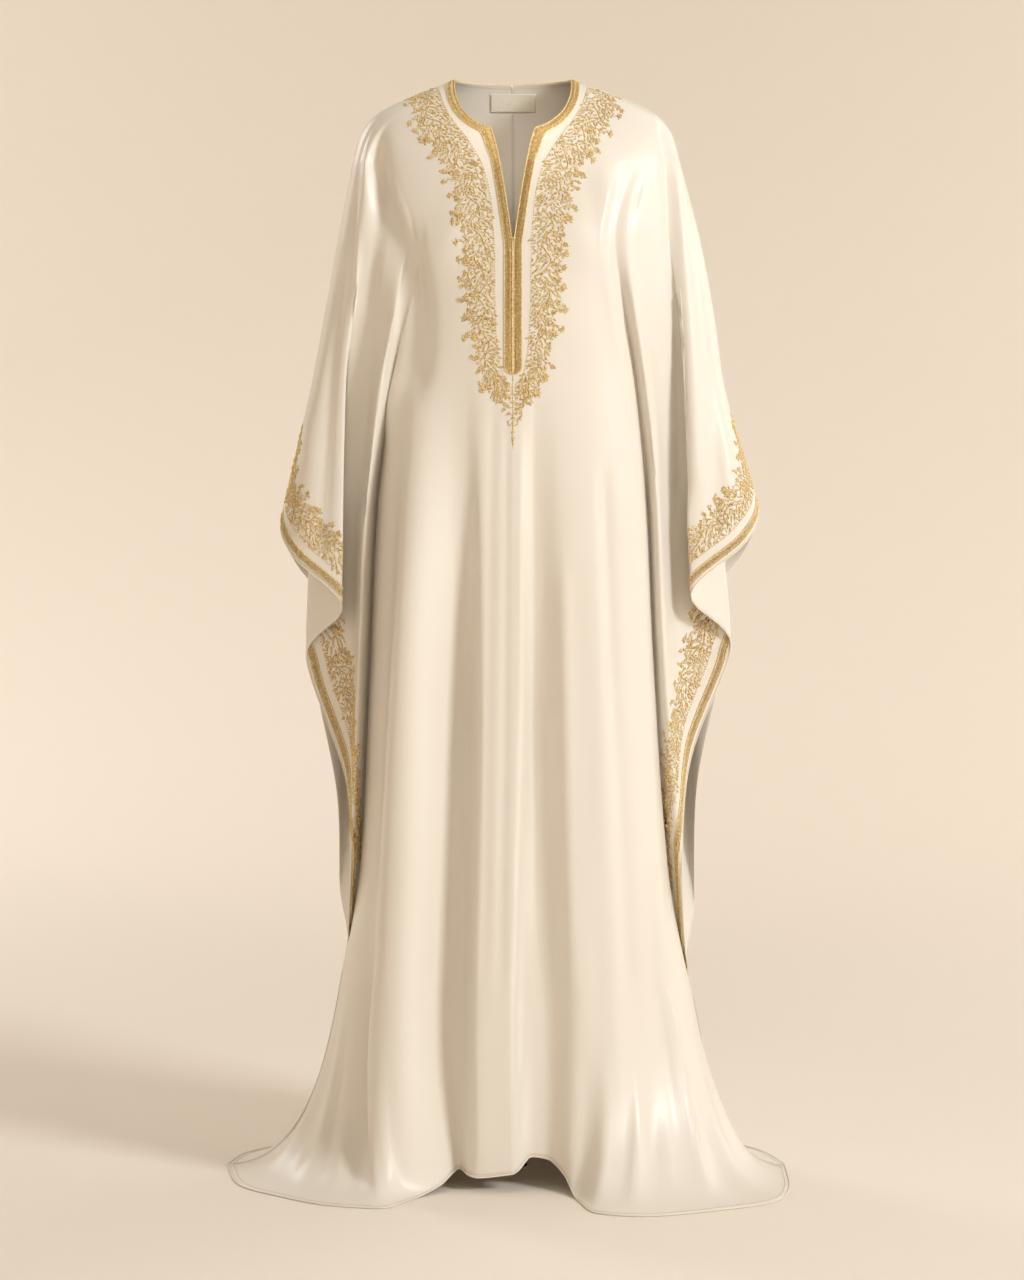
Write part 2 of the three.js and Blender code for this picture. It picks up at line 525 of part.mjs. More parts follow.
class Quarter {
  constructor(side, face) {
    this.side = side;
    this.face = face;
    this.points = new Map();
  }

  // The two halves of the front share their points below the slit.
  key(i, j) {
    const shared = this.face === 'front' && i === 0 && j >= SLIT_END_ROW;
    return shared ? `front-centre-${j}` : `${this.side}-${this.face}-${i}-${j}`;
  }

  point(i, j) {
    const key = this.key(i, j);
    if (!this.points.has(key)) this.points.set(key, gridPoint(this.side, this.face, i, j));
    return this.points.get(key);
  }

  // A cell's corners, counterclockwise from outside the garment.
  corners([i, j]) {
    const ring = [[i, j], [i, j + 1], [i + 1, j + 1], [i + 1, j]];
    return (this.side === 'right') === (this.face === 'front') ? ring : ring.reverse();
  }
}

// Planes that a seam's rim must keep to, so that two pieces meet face to face.
function seamPlane(quarter, i, j) {
  if (i === 0 && (quarter.face === 'back' || j >= SLIT_END_ROW)) return 'x';
  if (i === COLUMNS - 1) return 'y';
  if (i === SIDE_COLUMN && j >= EDGE_ROW) return 'y';
  return null;
}

// Point normals, halfway between those of the cells around, so that a wall stays whole in a tight fold.
function pointNormals(quarters) {
  const normals = new Map();
  for (const quarter of quarters) {
    for (const cell of panelCells()) {
      const ring = quarter.corners(cell);
      const [a, b, c, d] = ring.map(([i, j]) => quarter.point(i, j));
      const normal = c.clone().sub(a).cross(d.clone().sub(b)).normalize();
      for (const [i, j] of ring) {
        const key = quarter.key(i, j);
        if (!normals.has(key)) {
          normals.set(key, { sum: new THREE.Vector3(), plane: seamPlane(quarter, i, j) });
        }
        normals.get(key).sum.add(normal);
      }
    }
  }
  const unit = new Map();
  for (const [key, { sum, plane }] of normals) {
    if (plane) sum[plane] = 0;
    unit.set(key, sum.normalize());
  }
  return unit;
}

// A closed wall over the given cells, between two distances from the panel's outer face. It stays on
// its own side of the plane where front and back meet, and above the ground.
function wall(parts, normals, lower, upper) {
  const ids = new Map();
  const positions = [];
  const vertex = (quarter, [i, j], level) => {
    const key = `${quarter.key(i, j)}@${level}`;
    if (!ids.has(key)) {
      const p = quarter.point(i, j).clone().addScaledVector(normals.get(quarter.key(i, j)), level);
      ids.set(key, positions.length / 3);
      const own = quarter.face === 'front' ? Math.min(p.y, -SEAM_GAP / 2) : Math.max(p.y, SEAM_GAP / 2);
      positions.push(p.x, own, Math.max(p.z, FLOOR));
    }
    return ids.get(key);
  };
  const index = [];
  const edges = new Map();
  for (const { quarter, cells } of parts) {
    for (const cell of cells) {
      const ring = quarter.corners(cell);
      const outer = ring.map((corner) => vertex(quarter, corner, upper));
      const inner = ring.map((corner) => vertex(quarter, corner, lower));
      index.push(outer[0], outer[1], outer[2], outer[0], outer[2], outer[3]);
      index.push(inner[0], inner[2], inner[1], inner[0], inner[3], inner[2]);
      ring.forEach((_, k) => {
        const next = (k + 1) % 4;
        const reverse = `${outer[next]}>${outer[k]}`;
        if (edges.has(reverse)) edges.delete(reverse);
        else edges.set(`${outer[k]}>${outer[next]}`, [outer[k], outer[next], inner[k], inner[next]]);
      });
    }
  }
  for (const [a, b, c, d] of edges.values()) index.push(a, c, b, b, c, d);
  const geometry = new THREE.BufferGeometry();
  geometry.setAttribute('position', new THREE.Float32BufferAttribute(positions, 3));
  geometry.setIndex(index);
  return geometry;
}

// ---------------------------------------------------------------- pieces
const kaftan = new THREE.Group();
function addPiece(name, geometry, finish) {
  const mesh = new THREE.Mesh(geometry, new THREE.MeshStandardMaterial(finish));
  mesh.name = name;
  kaftan.add(mesh);
  return mesh;
}

const quarters = {};
for (const side of ['left', 'right']) {
  for (const face of ['front', 'back']) quarters[`${side}_${face}`] = new Quarter(side, face);
}
const normals = new Map();
const FRONT_QUARTERS = [quarters.left_front, quarters.right_front];
for (const group of [FRONT_QUARTERS, [quarters.left_back], [quarters.right_back]]) {
  for (const [key, normal] of pointNormals(group)) normals.set(key, normal);
}

const whole = (quarter) => ({ quarter, cells: panelCells() });
addPiece('front_panel', wall(FRONT_QUARTERS.map(whole), normals, -WALL, 0), SATIN);
addPiece('back_left_panel', wall([whole(quarters.left_back)], normals, -WALL, 0), SATIN);
addPiece('back_right_panel', wall([whole(quarters.right_back)], normals, -WALL, 0), SATIN);

// Braid along the neckline, down the slit and along the sleeves' edges, laid on the panels.
const braidFoot = SEAM_GAP;
const braidFace = SEAM_GAP + BRAID_THICK;
for (const [name, quarter] of Object.entries(quarters)) {
  const besideSlit = ([i, j]) => quarter.face === 'front' && i < 1 && j < SLIT_END_ROW;
  const neckCells = panelCells().filter(([i, j]) => j < BRAID_ROW || besideSlit([i, j]));
  const neckWall = wall([{ quarter, cells: neckCells }], normals, braidFoot, braidFace);
  addPiece(`neck_braid_${name}`, neckWall, GOLD_BRAID);
  const sleeveCells = panelCells().filter(([i, j]) => j === MARGIN_ROW - 1 && i > SIDE_COLUMN);
  const sleeveWall = wall([{ quarter, cells: sleeveCells }], normals, braidFoot, braidFace);
  addPiece(`sleeve_braid_${name}`, sleeveWall, GOLD_BRAID);
}

// The blank label inside the back of the neck, on both back pieces.
function labelGeometry() {
  const [across, down] = [12, 3];
  const positions = [];
  for (const depth of [0, LABEL.thick]) {
    for (let r = 0; r <= down; r += 1) {
      for (let c = 0; c <= across; c += 1) {
        const x = LABEL.width * (c / across - 0.5);
        const z = LABEL.top - LABEL.height * (r / down);
        const away = yokeAway('right', 'back', Math.abs(x), z);
        positions.push(x, away - WALL - LABEL.clear - depth, z);
      }
    }
  }
  const sheet = (across + 1) * (down + 1);
  const id = (c, r, layer) => layer * sheet + r * (across + 1) + c;
  const index = [];
  const quad = (a, b, c, d) => index.push(a, b, c, a, c, d);
  for (let r = 0; r < down; r += 1) {
    for (let c = 0; c < across; c += 1) {
      quad(id(c, r, 0), id(c + 1, r, 0), id(c + 1, r + 1, 0), id(c, r + 1, 0));
      quad(id(c, r, 1), id(c, r + 1, 1), id(c + 1, r + 1, 1), id(c + 1, r, 1));
    }
    quad(id(0, r, 0), id(0, r + 1, 0), id(0, r + 1, 1), id(0, r, 1));
    quad(id(across, r, 0), id(across, r, 1), id(across, r + 1, 1), id(across, r + 1, 0));
  }
  for (let c = 0; c < across; c += 1) {
    quad(id(c, 0, 0), id(c, 0, 1), id(c + 1, 0, 1), id(c + 1, 0, 0));
    quad(id(c, down, 0), id(c + 1, down, 0), id(c + 1, down, 1), id(c, down, 1));
  }
  const geometry = new THREE.BufferGeometry();
  geometry.setAttribute('position', new THREE.Float32BufferAttribute(positions, 3));
  geometry.setIndex(index);
  return geometry;
}
addPiece('neck_label', labelGeometry(), LABEL_TAPE);

// Small worked bars that close the slit, across both braids.
HOOK.heights.forEach((z, k) => {
  const box = new THREE.BoxGeometry(HOOK.width, HOOK.thick, HOOK.height);
  const bar = addPiece(`slit_bar_${k + 1}`, box, HOOK_THREAD);
  const surface = bodyAway('right', 'front', 0, z);
  bar.position.set(0, -(surface + braidFace + HOOK.clear + HOOK.thick / 2), z);
});

export default kaftan;
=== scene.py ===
"""A full-length satin kaftan with gold braid and vine embroidery, hollow as if worn by nobody.

Lengths are in millimetres, as in the frame's own record of the cut, and become metres where a mesh
is made. +Z is up, the front faces -Y, and the origin is midway between the two shoulder points.
"""
import math

import bpy
import mathutils
import numpy as np
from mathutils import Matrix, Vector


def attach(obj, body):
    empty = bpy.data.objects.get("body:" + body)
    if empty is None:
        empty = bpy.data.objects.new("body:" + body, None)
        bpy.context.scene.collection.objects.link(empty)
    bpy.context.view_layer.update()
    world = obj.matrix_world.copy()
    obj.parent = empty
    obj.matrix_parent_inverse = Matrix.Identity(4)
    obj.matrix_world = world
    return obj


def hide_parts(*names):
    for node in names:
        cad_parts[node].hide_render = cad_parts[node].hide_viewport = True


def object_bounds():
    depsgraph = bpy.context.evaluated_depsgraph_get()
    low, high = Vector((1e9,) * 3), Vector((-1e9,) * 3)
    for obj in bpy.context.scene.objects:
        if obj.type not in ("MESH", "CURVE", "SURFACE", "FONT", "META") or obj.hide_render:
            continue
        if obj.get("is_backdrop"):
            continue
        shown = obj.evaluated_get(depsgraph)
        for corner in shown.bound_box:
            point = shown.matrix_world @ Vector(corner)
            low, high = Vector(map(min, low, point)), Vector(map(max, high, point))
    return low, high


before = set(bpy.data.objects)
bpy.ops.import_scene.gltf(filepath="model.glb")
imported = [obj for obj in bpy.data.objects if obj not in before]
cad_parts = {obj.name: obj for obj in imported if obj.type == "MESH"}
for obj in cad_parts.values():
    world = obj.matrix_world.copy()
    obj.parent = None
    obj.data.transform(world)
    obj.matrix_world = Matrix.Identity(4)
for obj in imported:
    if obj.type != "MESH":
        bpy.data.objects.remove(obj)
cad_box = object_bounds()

MM = 0.001

# ------------------------------------------------------------------ driving sizes
FLOOR = -1450
FLOOR_CLEAR = 0.2            # least height of the shell, the rolls and the seams over the floor
SEAM_GAP = 0.3
NECK_HALF_WIDTH = 76
YOKE_BASE = -110             # below this the cloth hangs in level sections
BODY_LEVEL = -1170           # centre height where the skirt starts to sweep out
SLIT_END = -387
SLIT_GAP = 0.8
BRAID_WIDTH = 11
EDGE_MARGIN = 4              # plain cloth outside the braid on a sleeve's edge
EDGE_BRAID = 10
CLOTH = 0.8                  # thickness of the shell
WALL = 1.2                   # thickness of the frame's panels, which the hem stands on
BODY_POWER = 2.35            # roundness of a level section, and of the yoke seen from above
YOKE_POWER = 2.4
SHOULDER_POWER = 0.9
FOLDS_END = {"centre": 20, "side": 30}   # over which folds lean out and fade beside these
BACK_BRAID = {"spread": 12, "rise": 6}   # how the braid's edge widens to the shoulder at the back
FRONT_BRAID = {"least": 1.5, "more": 1, "turn_from": 0.35, "turn_over": 0.65, "lean": (0.93, 0.36)}
LABEL = {
    "width": 61, "height": 24, "top": -14, "thick": 0.3, "clear": 0.2,
    "cells": (24, 10), "sag": 0.35, "stitch_inset": 1.6,
}
BARS = {
    "width": 7.5, "strand": 0.6, "height": 2.4, "heights": [-214, -280, -314],
    "bow": 0.35, "twist": (0.35, 0.45), "turn": 5,
}

LINES = ["side", "crest", "hollow", "outer", "inner", "arm", "over"]
NECKLINE = {"out": [29, 41, 56, 68, 75, 77, NECK_HALF_WIDTH], "z": [-69, -65, -55, -41, -24, -10, 0]}
SLIT = {
    "z": [-69, -84, -125, -160, -211, -222, SLIT_END],
    "half": [29, 24, 15.5, 9.5, 2.2, SLIT_GAP, SLIT_GAP],
}
SHOULDERS = {
    "z": [0, -5, -24, -48, -75, YOKE_BASE],
    "left": [76, 89, 138, 183, 202, 212],
    "right": [76, 89, 145, 192, 211, 221],
}
DEPTHS = {
    "z": [0, -15, -38, -69, -110, -160, -213, -250, -300, -400, -577, -770, -1030, -1200],
    "front": [6, 27, 50, 74, 93, 108, 119, 123, 122, 119, 122, 128, 142, 154],
    "back": [48, 53, 60, 68, 78, 86, 92, 94, 94, 94, 98, 108, 130, 150],
}

# Sections through the hanging sleeves, by height: (out from the centre, away from the arm's plane).
WING_COLUMNS = ["z", *LINES]
WINGS = {
    "left": [
        (-110, (160, 67), (173, 61), (184, 54), (194, 46), (201, 37), (208, 24), 212),
        (-213, (128, 97), (145, 95), (167, 81), (192, 62), (207, 53), (224, 36), 232),
        (-300, (140, 82), (153, 95), (174, 74), (206, 54), (214, 58), (237, 41), 248),
        (-400, (157, 52), (172, 86), (191, 54), (232, 38), (220, 61), (254, 46), 267),
        (-577, (180, 28), (193, 76), (210, 38), (266, 22), (223, 64), (284, 48), 308),
        (-770, (189, 25), (202, 70), (217, 32), (275, 18), (226, 60), (304, 46), 345),
        (-1030, (203, 20), (215, 56), (228, 27), (277, 16), (228, 58), (304, 46), 345),
        (-1138, (219, 7), (237, 48), (245, 25), (277, 16), (228, 58), (304, 46), 345),
        (-1149, (222, 0), (238, 46), (246, 24), (277, 16), (228, 58), (304, 46), 345),
    ],
    "right": [
        (-110, (160, 67), (175, 61), (188, 55), (200, 47), (208, 39), (216, 26), 221),
        (-213, (132, 97), (150, 95), (172, 81), (199, 63), (212, 56), (237, 38), 248),
        (-300, (144, 82), (159, 95), (181, 73), (214, 56), (217, 60), (253, 43), 265),
        (-400, (160, 66), (175, 86), (196, 55), (238, 39), (221, 63), (265, 48), 280),
        (-558, (176, 50), (189, 76), (211, 40), (270, 23), (227, 66), (299, 50), 325),
        (-750, (185, 46), (199, 70), (226, 30), (290, 20), (237, 64), (322, 48), 366),
        (-1040, (206, 32), (224, 55), (245, 28), (291, 16), (240, 60), (322, 48), 366),
        (-1181, (232, 7), (251, 47), (261, 25), (291, 16), (240, 60), (322, 48), 366),
        (-1192, (235, 0), (252, 46), (262, 24), (291, 16), (240, 60), (322, 48), 366),
    ],
    "back": [
        (-110, (162, 58), (174, 53), (185, 47), (195, 40), (202, 32), (208, 21), 212),
        (-213, (152, 70), (166, 68), (180, 60), (198, 50), (208, 46), (224, 32), 232),
        (-300, (156, 56), (171, 70), (187, 54), (207, 43), (217, 50), (238, 36), 248),
        (-400, (164, 38), (183, 68), (198, 42), (228, 30), (225, 54), (254, 41), 267),
        (-577, (180, 14), (204, 64), (219, 32), (257, 18), (232, 56), (284, 42), 308),
        (-770, (189, 7), (215, 60), (229, 27), (263, 15), (238, 53), (300, 40), 345),
        (-1030, (204, 3), (229, 48), (240, 22), (264, 13), (239, 52), (300, 40), 345),
        (-1150, (221, 0), (243, 44), (250, 20), (264, 13), (239, 52), (300, 40), 345),
    ],
}
BACK_FOLLOWS_SIDE_BELOW = -577
BESIDE_WING = 0.93           # the body's point before the side line

# Height at which each line meets the sleeve's edge, or for the side line the top of the side seam.
SLEEVE_EDGES = {
    ("left", "front"): [-1149, -1029, -922, -762, -692, -626, -577],
    ("left", "back"): [-1149, -1078, -950, -792, -716, -640, -577],
    ("right", "front"): [-1192, -1037, -900, -748, -676, -608, -558],
    ("right", "back"): [-1192, -1100, -935, -776, -700, -622, -558],
}

# Folds down the front and back: a raised or sunk band between two edges, given in x at three
# heights, with a softness for each edge, its relief, and the height from which it grows.
FOLD_HEIGHTS = [-400, -800, -1170]
FOLD_GROWTH = 560
FOLDS = {
    "front": [
        ((-136, -150, -168), (-104, -106, -114), (10, 17), 44, -290),
        ((-84, -88, -104), (-54, -52, -60), (12, 7), -23, -320),
        ((-47, -46, -54), (22, 15, 5), (4.5, 2.5), 19, -380),
        ((24, 17, 7), (43, 53, 67), (2.5, 15), -36, -350),
        ((92, 104, 118), (112, 128, 146), (14, 16), 6, -420),
        ((160, 176, 192), (167, 184, 203), (6, 6), 10, -360),
    ],
    "back": [
        ((-152, -160, -174), (-112, -118, -126), (15, 11), 24, -300),
        ((-96, -100, -108), (-62, -64, -70), (9, 12), -21, -330),
        ((-50, -50, -52), (-18, -14, -12), (7, 13), 20, -340),
        ((18, 18, 16), (44, 48, 52), (10, 8), -18, -370),
        ((60, 66, 74), (96, 104, 114), (8, 14), 24, -320),
        ((128, 136, 146), (150, 160, 172), (8, 10), -15, -330),
    ],
}

# Creases beside the folds, each a raised or sunk line down the cloth: heights, x at each of them,
# reach to the left and to the right, relief, and the first and last place along the columns.
CREASES = {
    "front": [
        ((-80, -140, -205, -262, -330, -400), (-186, -177, -152, -131, -124, -126), (28, 17), -15, (4, 19.5)),
        ((-235, -300, -380, -460), (-133, -142, -152, -162), (10, 9), 7, (6, 15)),
        ((-100, -170, -260, -420, -560), (-186, -193, -205, -217, -228), (9, 9), 7, (16, 22)),
        ((-120, -230, -380, -560), (-176, -184, -192, -197), (7, 9), -5, (15, 20)),
        ((-240, -360, -520, -640), (-222, -236, -246, -252), (10, 8), -6, (18, 26)),
        ((-200, -330, -480), (-243, -262, -276), (7, 9), 5, (20, 26)),
        ((-55, -120, -230, -370, -560), (198, 203, 207, 216, 221), (6, 8), -7, (15, 26)),
        ((-110, -220, -360, -540), (212, 222, 232, 240), (8, 10), 6, (16, 26)),
        ((-190, -300, -420, -600), (240, 253, 262, 268), (7, 10), -5, (18, 26)),
        ((-160, -250, -380, -520), (168, 172, 181, 188), (10, 12), -7, (12, 17)),
        ((-130, -200, -280, -360), (118, 128, 138, 146), (16, 18), 5, (4, 13)),
        ((-180, -215, -250), (-70, -84, -100), (34, 26), 5, (3, 13)),
        ((-180, -215, -250), (86, 92, 98), (34, 34), 5, (3, 13)),
        ((-460, -700, -1000, -1180), (-6, -8, -14, -18), (6, 9), -1.8, (0, 8)),
        ((-430, -640, -900, -1170), (-26, -30, -34, -38), (6, 8), -1.6, (0, 8)),
        ((-520, -760, -1000, -1180), (118, 128, 142, 150), (7, 10), -4, (4, 14)),
        ((-640, -900, -1170), (66, 70, 76), (9, 9), 2.5, (2, 10)),
    ],
    "back": [
        ((-70, -150, -260, -380), (-150, -132, -108, -98), (12, 24), -11, (4, 15)),
        ((-60, -150, -280, -400), (154, 138, 118, 104), (22, 12), -12, (4, 15)),
        ((-110, -200, -330, -470), (-176, -184, -196, -205), (9, 9), 7, (15, 22)),
        ((-130, -260, -400, -560), (186, 199, 208, 214), (9, 9), 6, (15, 22)),
        ((-220, -340, -500, -640), (-222, -236, -246, -252), (9, 10), -6, (18, 26)),
        ((-180, -320, -480, -620), (234, 252, 262, 270), (10, 8), -6, (18, 26)),
        ((-560, -800, -1060, -1180), (-34, -32, -30, -30), (5, 7), -4, (0, 8)),
        ((-480, -700, -980, -1170), (78, 84, 92, 98), (6, 8), -5, (2, 12)),
        ((-240, -420, -640), (34, 40, 44), (10, 12), 4, (1, 10)),
        ((-300, -500, -760), (-74, -80, -88), (9, 11), 4, (2, 11)),
    ],
}
CREASE_FADE = 70             # over which a crease comes and goes at its ends
CREASES_END = {"arm": 2.5, "edge_rows": 14}     # places and rows over which they end at these

# The hem in plan: part of the way from the centre to the side seam, out, away, and height.
HEM_COLUMNS = ["at", "out", "away", "lift"]
HEMS = {
    ("left", "front"): [
        (0, 0, 160, 22), (0.16, 46, 163, 18), (0.2, 58, 156, 20), (0.26, 70, 134, 24),
        (0.34, 94, 164, 9), (0.44, 130, 206, 0), (0.54, 168, 256, 0), (0.68, 236, 240, 0),
        (0.8, 302, 189, 0), (0.91, 360, 122, 0), (1, 385, 0, 0),
    ],
    ("left", "back"): [
        (0, 0, 268, 0), (0.14, 60, 276, 0), (0.28, 128, 266, 0), (0.42, 190, 272, 0),
        (0.56, 250, 240, 0), (0.68, 297, 182, 0), (0.78, 320, 128, 0), (0.9, 370, 62, 0),
        (1, 385, 0, 0),
    ],
    ("right", "front"): [
        (0, 0, 160, 22), (0.04, 8, 156, 27), (0.1, 24, 140, 41), (0.17, 46, 142, 38),
        (0.23, 68, 165, 20), (0.29, 82, 206, 0), (0.38, 103, 280, 0), (0.52, 162, 299, 0),
        (0.72, 270, 262, 0), (0.86, 346, 206, 0), (0.94, 364, 108, 0), (1, 366, 0, 0),
    ],
    ("right", "back"): [
        (0, 0, 268, 0), (0.12, 56, 260, 0), (0.26, 120, 280, 0), (0.4, 186, 262, 0),
        (0.54, 246, 226, 0), (0.7, 296, 150, 0), (0.86, 345, 76, 0), (1, 366, 0, 0),
    ],
}
HANGING_LIFT = 20            # a hem this clear of the ground hangs straight
SKIRT_LEAD = 105             # how far the skirt keeps its direction before it sweeps out
SKIRT_PROBE = 60             # height over which that direction is taken
HANGING_BEND = (0.6, 0.5)    # where a hanging hem's curve bends: in plan, and in height
SWEEP = {"start": 0.12, "lift": 2}
HALF_HEM = 300               # the braid's width at the hem is this part of it
RIDGE_POWER = 1.15
# Soft ridges over the lying cloth: part of the way to the side seam, reach, height.
RIDGES = {
    ("left", "front"): [
        (0.37, 0.03, 12), (0.47, 0.022, 20), (0.585, 0.03, 27),
        (0.7, 0.025, 12), (0.79, 0.03, 23), (0.92, 0.03, 14),
    ],
    ("left", "back"): [
        (0.1, 0.05, 12), (0.26, 0.03, 20), (0.4, 0.035, 11),
        (0.55, 0.03, 23), (0.74, 0.035, 15), (0.88, 0.03, 19),
    ],
    ("right", "front"): [
        (0.36, 0.03, 11), (0.49, 0.025, 16), (0.6, 0.02, 9),
        (0.71, 0.028, 30), (0.82, 0.025, 12), (0.93, 0.03, 18),
    ],
    ("right", "back"): [
        (0.07, 0.04, 11), (0.21, 0.03, 22), (0.37, 0.03, 12),
        (0.5, 0.035, 19), (0.66, 0.03, 12), (0.84, 0.035, 20),
    ],
}

# The grid of a quarter: cells in each stretch of columns and of rows.
BODY_PARTS = [0.07, 0.14, 0.19, 0.25, 0.31, 0.38, 0.45, 0.53, 0.62, 0.72, 0.82, 0.92, 1]
WING_STEPS = 2
SIDE = len(BODY_PARTS) + 1                       # the side line's place along the columns
LAST = SIDE + (len(LINES) - 1) * WING_STEPS      # the arm's top
CELLS = {"slit": 3, "body": 4, "wing": 4, "braid": 4, "yoke": 18, "hanging": 118, "skirt": 44}


# ------------------------------------------------------------------ curves through tables
def mix(a, b, t):
    return a + (b - a) * t


def ease(t):
    t = np.clip(t, 0, 1)
    return t * t * (3 - 2 * t)


def through(xs, ys, x):
    """A curve through (xs, ys) that never overshoots the values."""
    xs, ys = np.asarray(xs, float), np.asarray(ys, float)
    if xs[0] > xs[-1]:
        xs, ys = xs[::-1], ys[::-1]
    slopes = np.diff(ys) / np.diff(xs)
    before, after = slopes[:-1], slopes[1:]
    both = before * after > 0
    total = np.where(both, before + after, 1)
    tangents = np.concatenate([slopes[:1], np.where(both, 2 * before * after / total, 0), slopes[-1:]])
    x = np.clip(x, xs[0], xs[-1])
    k = np.clip(np.searchsorted(xs, x, side="right") - 1, 0, len(xs) - 2)
    h = xs[k + 1] - xs[k]
    t = (x - xs[k]) / h
    t2, t3 = t * t, t * t * t
    return (
        ys[k] * (2 * t3 - 3 * t2 + 1)
        + tangents[k] * h * (t3 - 2 * t2 + t)
        + ys[k + 1] * (3 * t2 - 2 * t3)
        + tangents[k + 1] * h * (t3 - t2)
    )


def column(rows, names, name):
    return [row[names.index(name)] for row in rows]


# ------------------------------------------------------------------ sections of the hanging cloth
def slit_half(z):
    return through(SLIT["z"], SLIT["half"], z)


def centre_depth(face, z):
    return through(DEPTHS["z"], DEPTHS[face], z)


def line_point(side, face, name, z):
    """Where a line of the wing is at heights z: how far out and how far away."""
    own = WINGS[side]
    heights = column(own, WING_COLUMNS, "z")
    own_over = through(heights, column(own, WING_COLUMNS, "over"), z)
    least = SEAM_GAP / 2
    if name == "over":
        return own_over, np.full_like(own_over, least)

    def pair(table, index):
        values = [p[index] for p in column(table, WING_COLUMNS, name)]
        return through(column(table, WING_COLUMNS, "z"), values, z)

    if face == "front":
        return pair(own, 0), np.maximum(pair(own, 1), least)
    table = WINGS["back"]
    away = np.maximum(pair(table, 1), least)
    if name == "side":
        follow = ease((z - YOKE_BASE) / (BACK_FOLLOWS_SIDE_BELOW - YOKE_BASE))
        return mix(pair(table, 0), pair(own, 0), follow), np.maximum(mix(away, pair(own, 1), follow), least)
    share = LINES.index(name) / (len(LINES) - 1)
    back_over = through(column(table, WING_COLUMNS, "z"), column(table, WING_COLUMNS, "over"), z)
    return pair(table, 0) + (own_over - back_over) * math.sqrt(share), away


def wing_point(side, face, place, z):
    """The wing between two lines, as a smooth curve through all of them."""
    whole = min(int(place), len(LINES) - 2)
    t = place - whole

    def point(index):
        if index < 0:
            return body_point(side, face, BESIDE_WING, z)
        if index < len(LINES):
            return line_point(side, face, LINES[index], z)
        out, away = line_point(side, face, "arm", z)
        return out, -away

    a, b, c, d = (np.array(point(whole + k)) for k in (-1, 0, 1, 2))
    return b + 0.5 * t * (c - a + t * (2 * a - 5 * b + 4 * c - d + t * (3 * (b - c) + d - a)))


def body_away(side, face, out, z):
    """How far the body stands out at a distance from the centre."""
    side_out, side_away = line_point(side, face, "side", z)
    t = np.clip(out / side_out, 0, 1)
    tucked = ease((z - YOKE_BASE) / (BACK_FOLLOWS_SIDE_BELOW - YOKE_BASE))
    open_ = 1 - t**BODY_POWER
    return side_away + (centre_depth(face, z) - side_away) * mix(open_, open_ ** (1 / BODY_POWER), tucked)


def fold_relief(face, x, z):
    relief = np.zeros(np.broadcast(x, z).shape)
    for start_edge, end_edge, soft, height, start in FOLDS[face]:
        rise = 0.5 * (1 + np.tanh((x - through(FOLD_HEIGHTS, start_edge, z)) / soft[0]))
        fall = 0.5 * (1 + np.tanh((through(FOLD_HEIGHTS, end_edge, z) - x) / soft[1]))
        relief += height * ease((start - z) / FOLD_GROWTH) * rise * fall
    return relief


def body_start(face, z):
    if face == "back":
        return np.full_like(z, SEAM_GAP / 2)
    return np.where(z > SLIT_END + 1, slit_half(z), 0.0)


def body_at(side, face, out, z):
    """A point of the body at a distance from the centre, with its folds raised square to it."""
    sign = -1 if side == "left" else 1
    away = body_away(side, face, out, z)
    side_out, _ = line_point(side, face, "side", z)
    step = np.minimum(1, side_out * 0.01)
    inner = np.clip(out, 0, side_out - step)
    slope = (body_away(side, face, inner + step, z) - body_away(side, face, inner, z)) / step
    length = np.hypot(1, slope)
    relief = fold_relief(face, sign * out, z) * ease((side_out - out) / FOLDS_END["side"])
    lean = ease(out / FOLDS_END["centre"])
    return np.array([out - slope / length * relief * lean, away + relief / length])


def body_point(side, face, part, z, samples=48):
    """The body's point a part of the way along its arc from the braid's inner edge to the side."""
    z = np.asarray(z, float)
    first = body_start(face, z) + BRAID_WIDTH
    side_out, _ = line_point(side, face, "side", z)
    reach = 1 - (1 - np.linspace(0, 1, samples + 1)) ** 2
    outs = first + (side_out - first) * reach[:, None]
    aways = body_away(side, face, outs, z)
    steps = np.hypot(np.diff(outs, axis=0), np.diff(aways, axis=0))
    arc = np.concatenate([np.zeros((1, len(z))), np.cumsum(steps, axis=0)])
    target = part * arc[-1]
    k = np.clip((arc < target).sum(axis=0) - 1, 0, samples - 1)
    rows = np.arange(len(z))
    t = (target - arc[k, rows]) / (arc[k + 1, rows] - arc[k, rows])
    return body_at(side, face, mix(outs[k, rows], outs[k + 1, rows], t), z)


# ------------------------------------------------------------------ the grid of one quarter
def body_part(i):
    return float(np.interp(i - 2, range(len(BODY_PARTS)), BODY_PARTS))


def section_point(side, face, i, z):
    """How far out and away a column is at heights z below the yoke."""
    z = np.atleast_1d(np.asarray(z, float))
    if i > SIDE:
        return wing_point(side, face, (i - SIDE) / WING_STEPS, z)
    if i == SIDE:
        return np.array(line_point(side, face, "side", z))
    if i < 1:
        return body_at(side, face, body_start(face, z) + i * BRAID_WIDTH, z)
    if i < 2:
        near = body_at(side, face, body_start(face, z) + BRAID_WIDTH, z)
        return mix(near, body_point(side, face, BODY_PARTS[0], z), i - 1)
    return body_point(side, face, body_part(i), z)


def edge_height(side, face, i):
    edges = SLEEVE_EDGES[side, face]
    if i <= SIDE:
        return float(mix(BODY_LEVEL, edges[0], ease(i / SIDE)))
    return float(through(range(len(LINES)), edges, (i - SIDE) / WING_STEPS))


def yoke_away(side, face, out, z):
    t = np.minimum(1, out / through(SHOULDERS["z"], SHOULDERS[side], z))
    return np.maximum(SEAM_GAP / 2, centre_depth(face, z) * (1 - t**YOKE_POWER) ** (1 / YOKE_POWER))


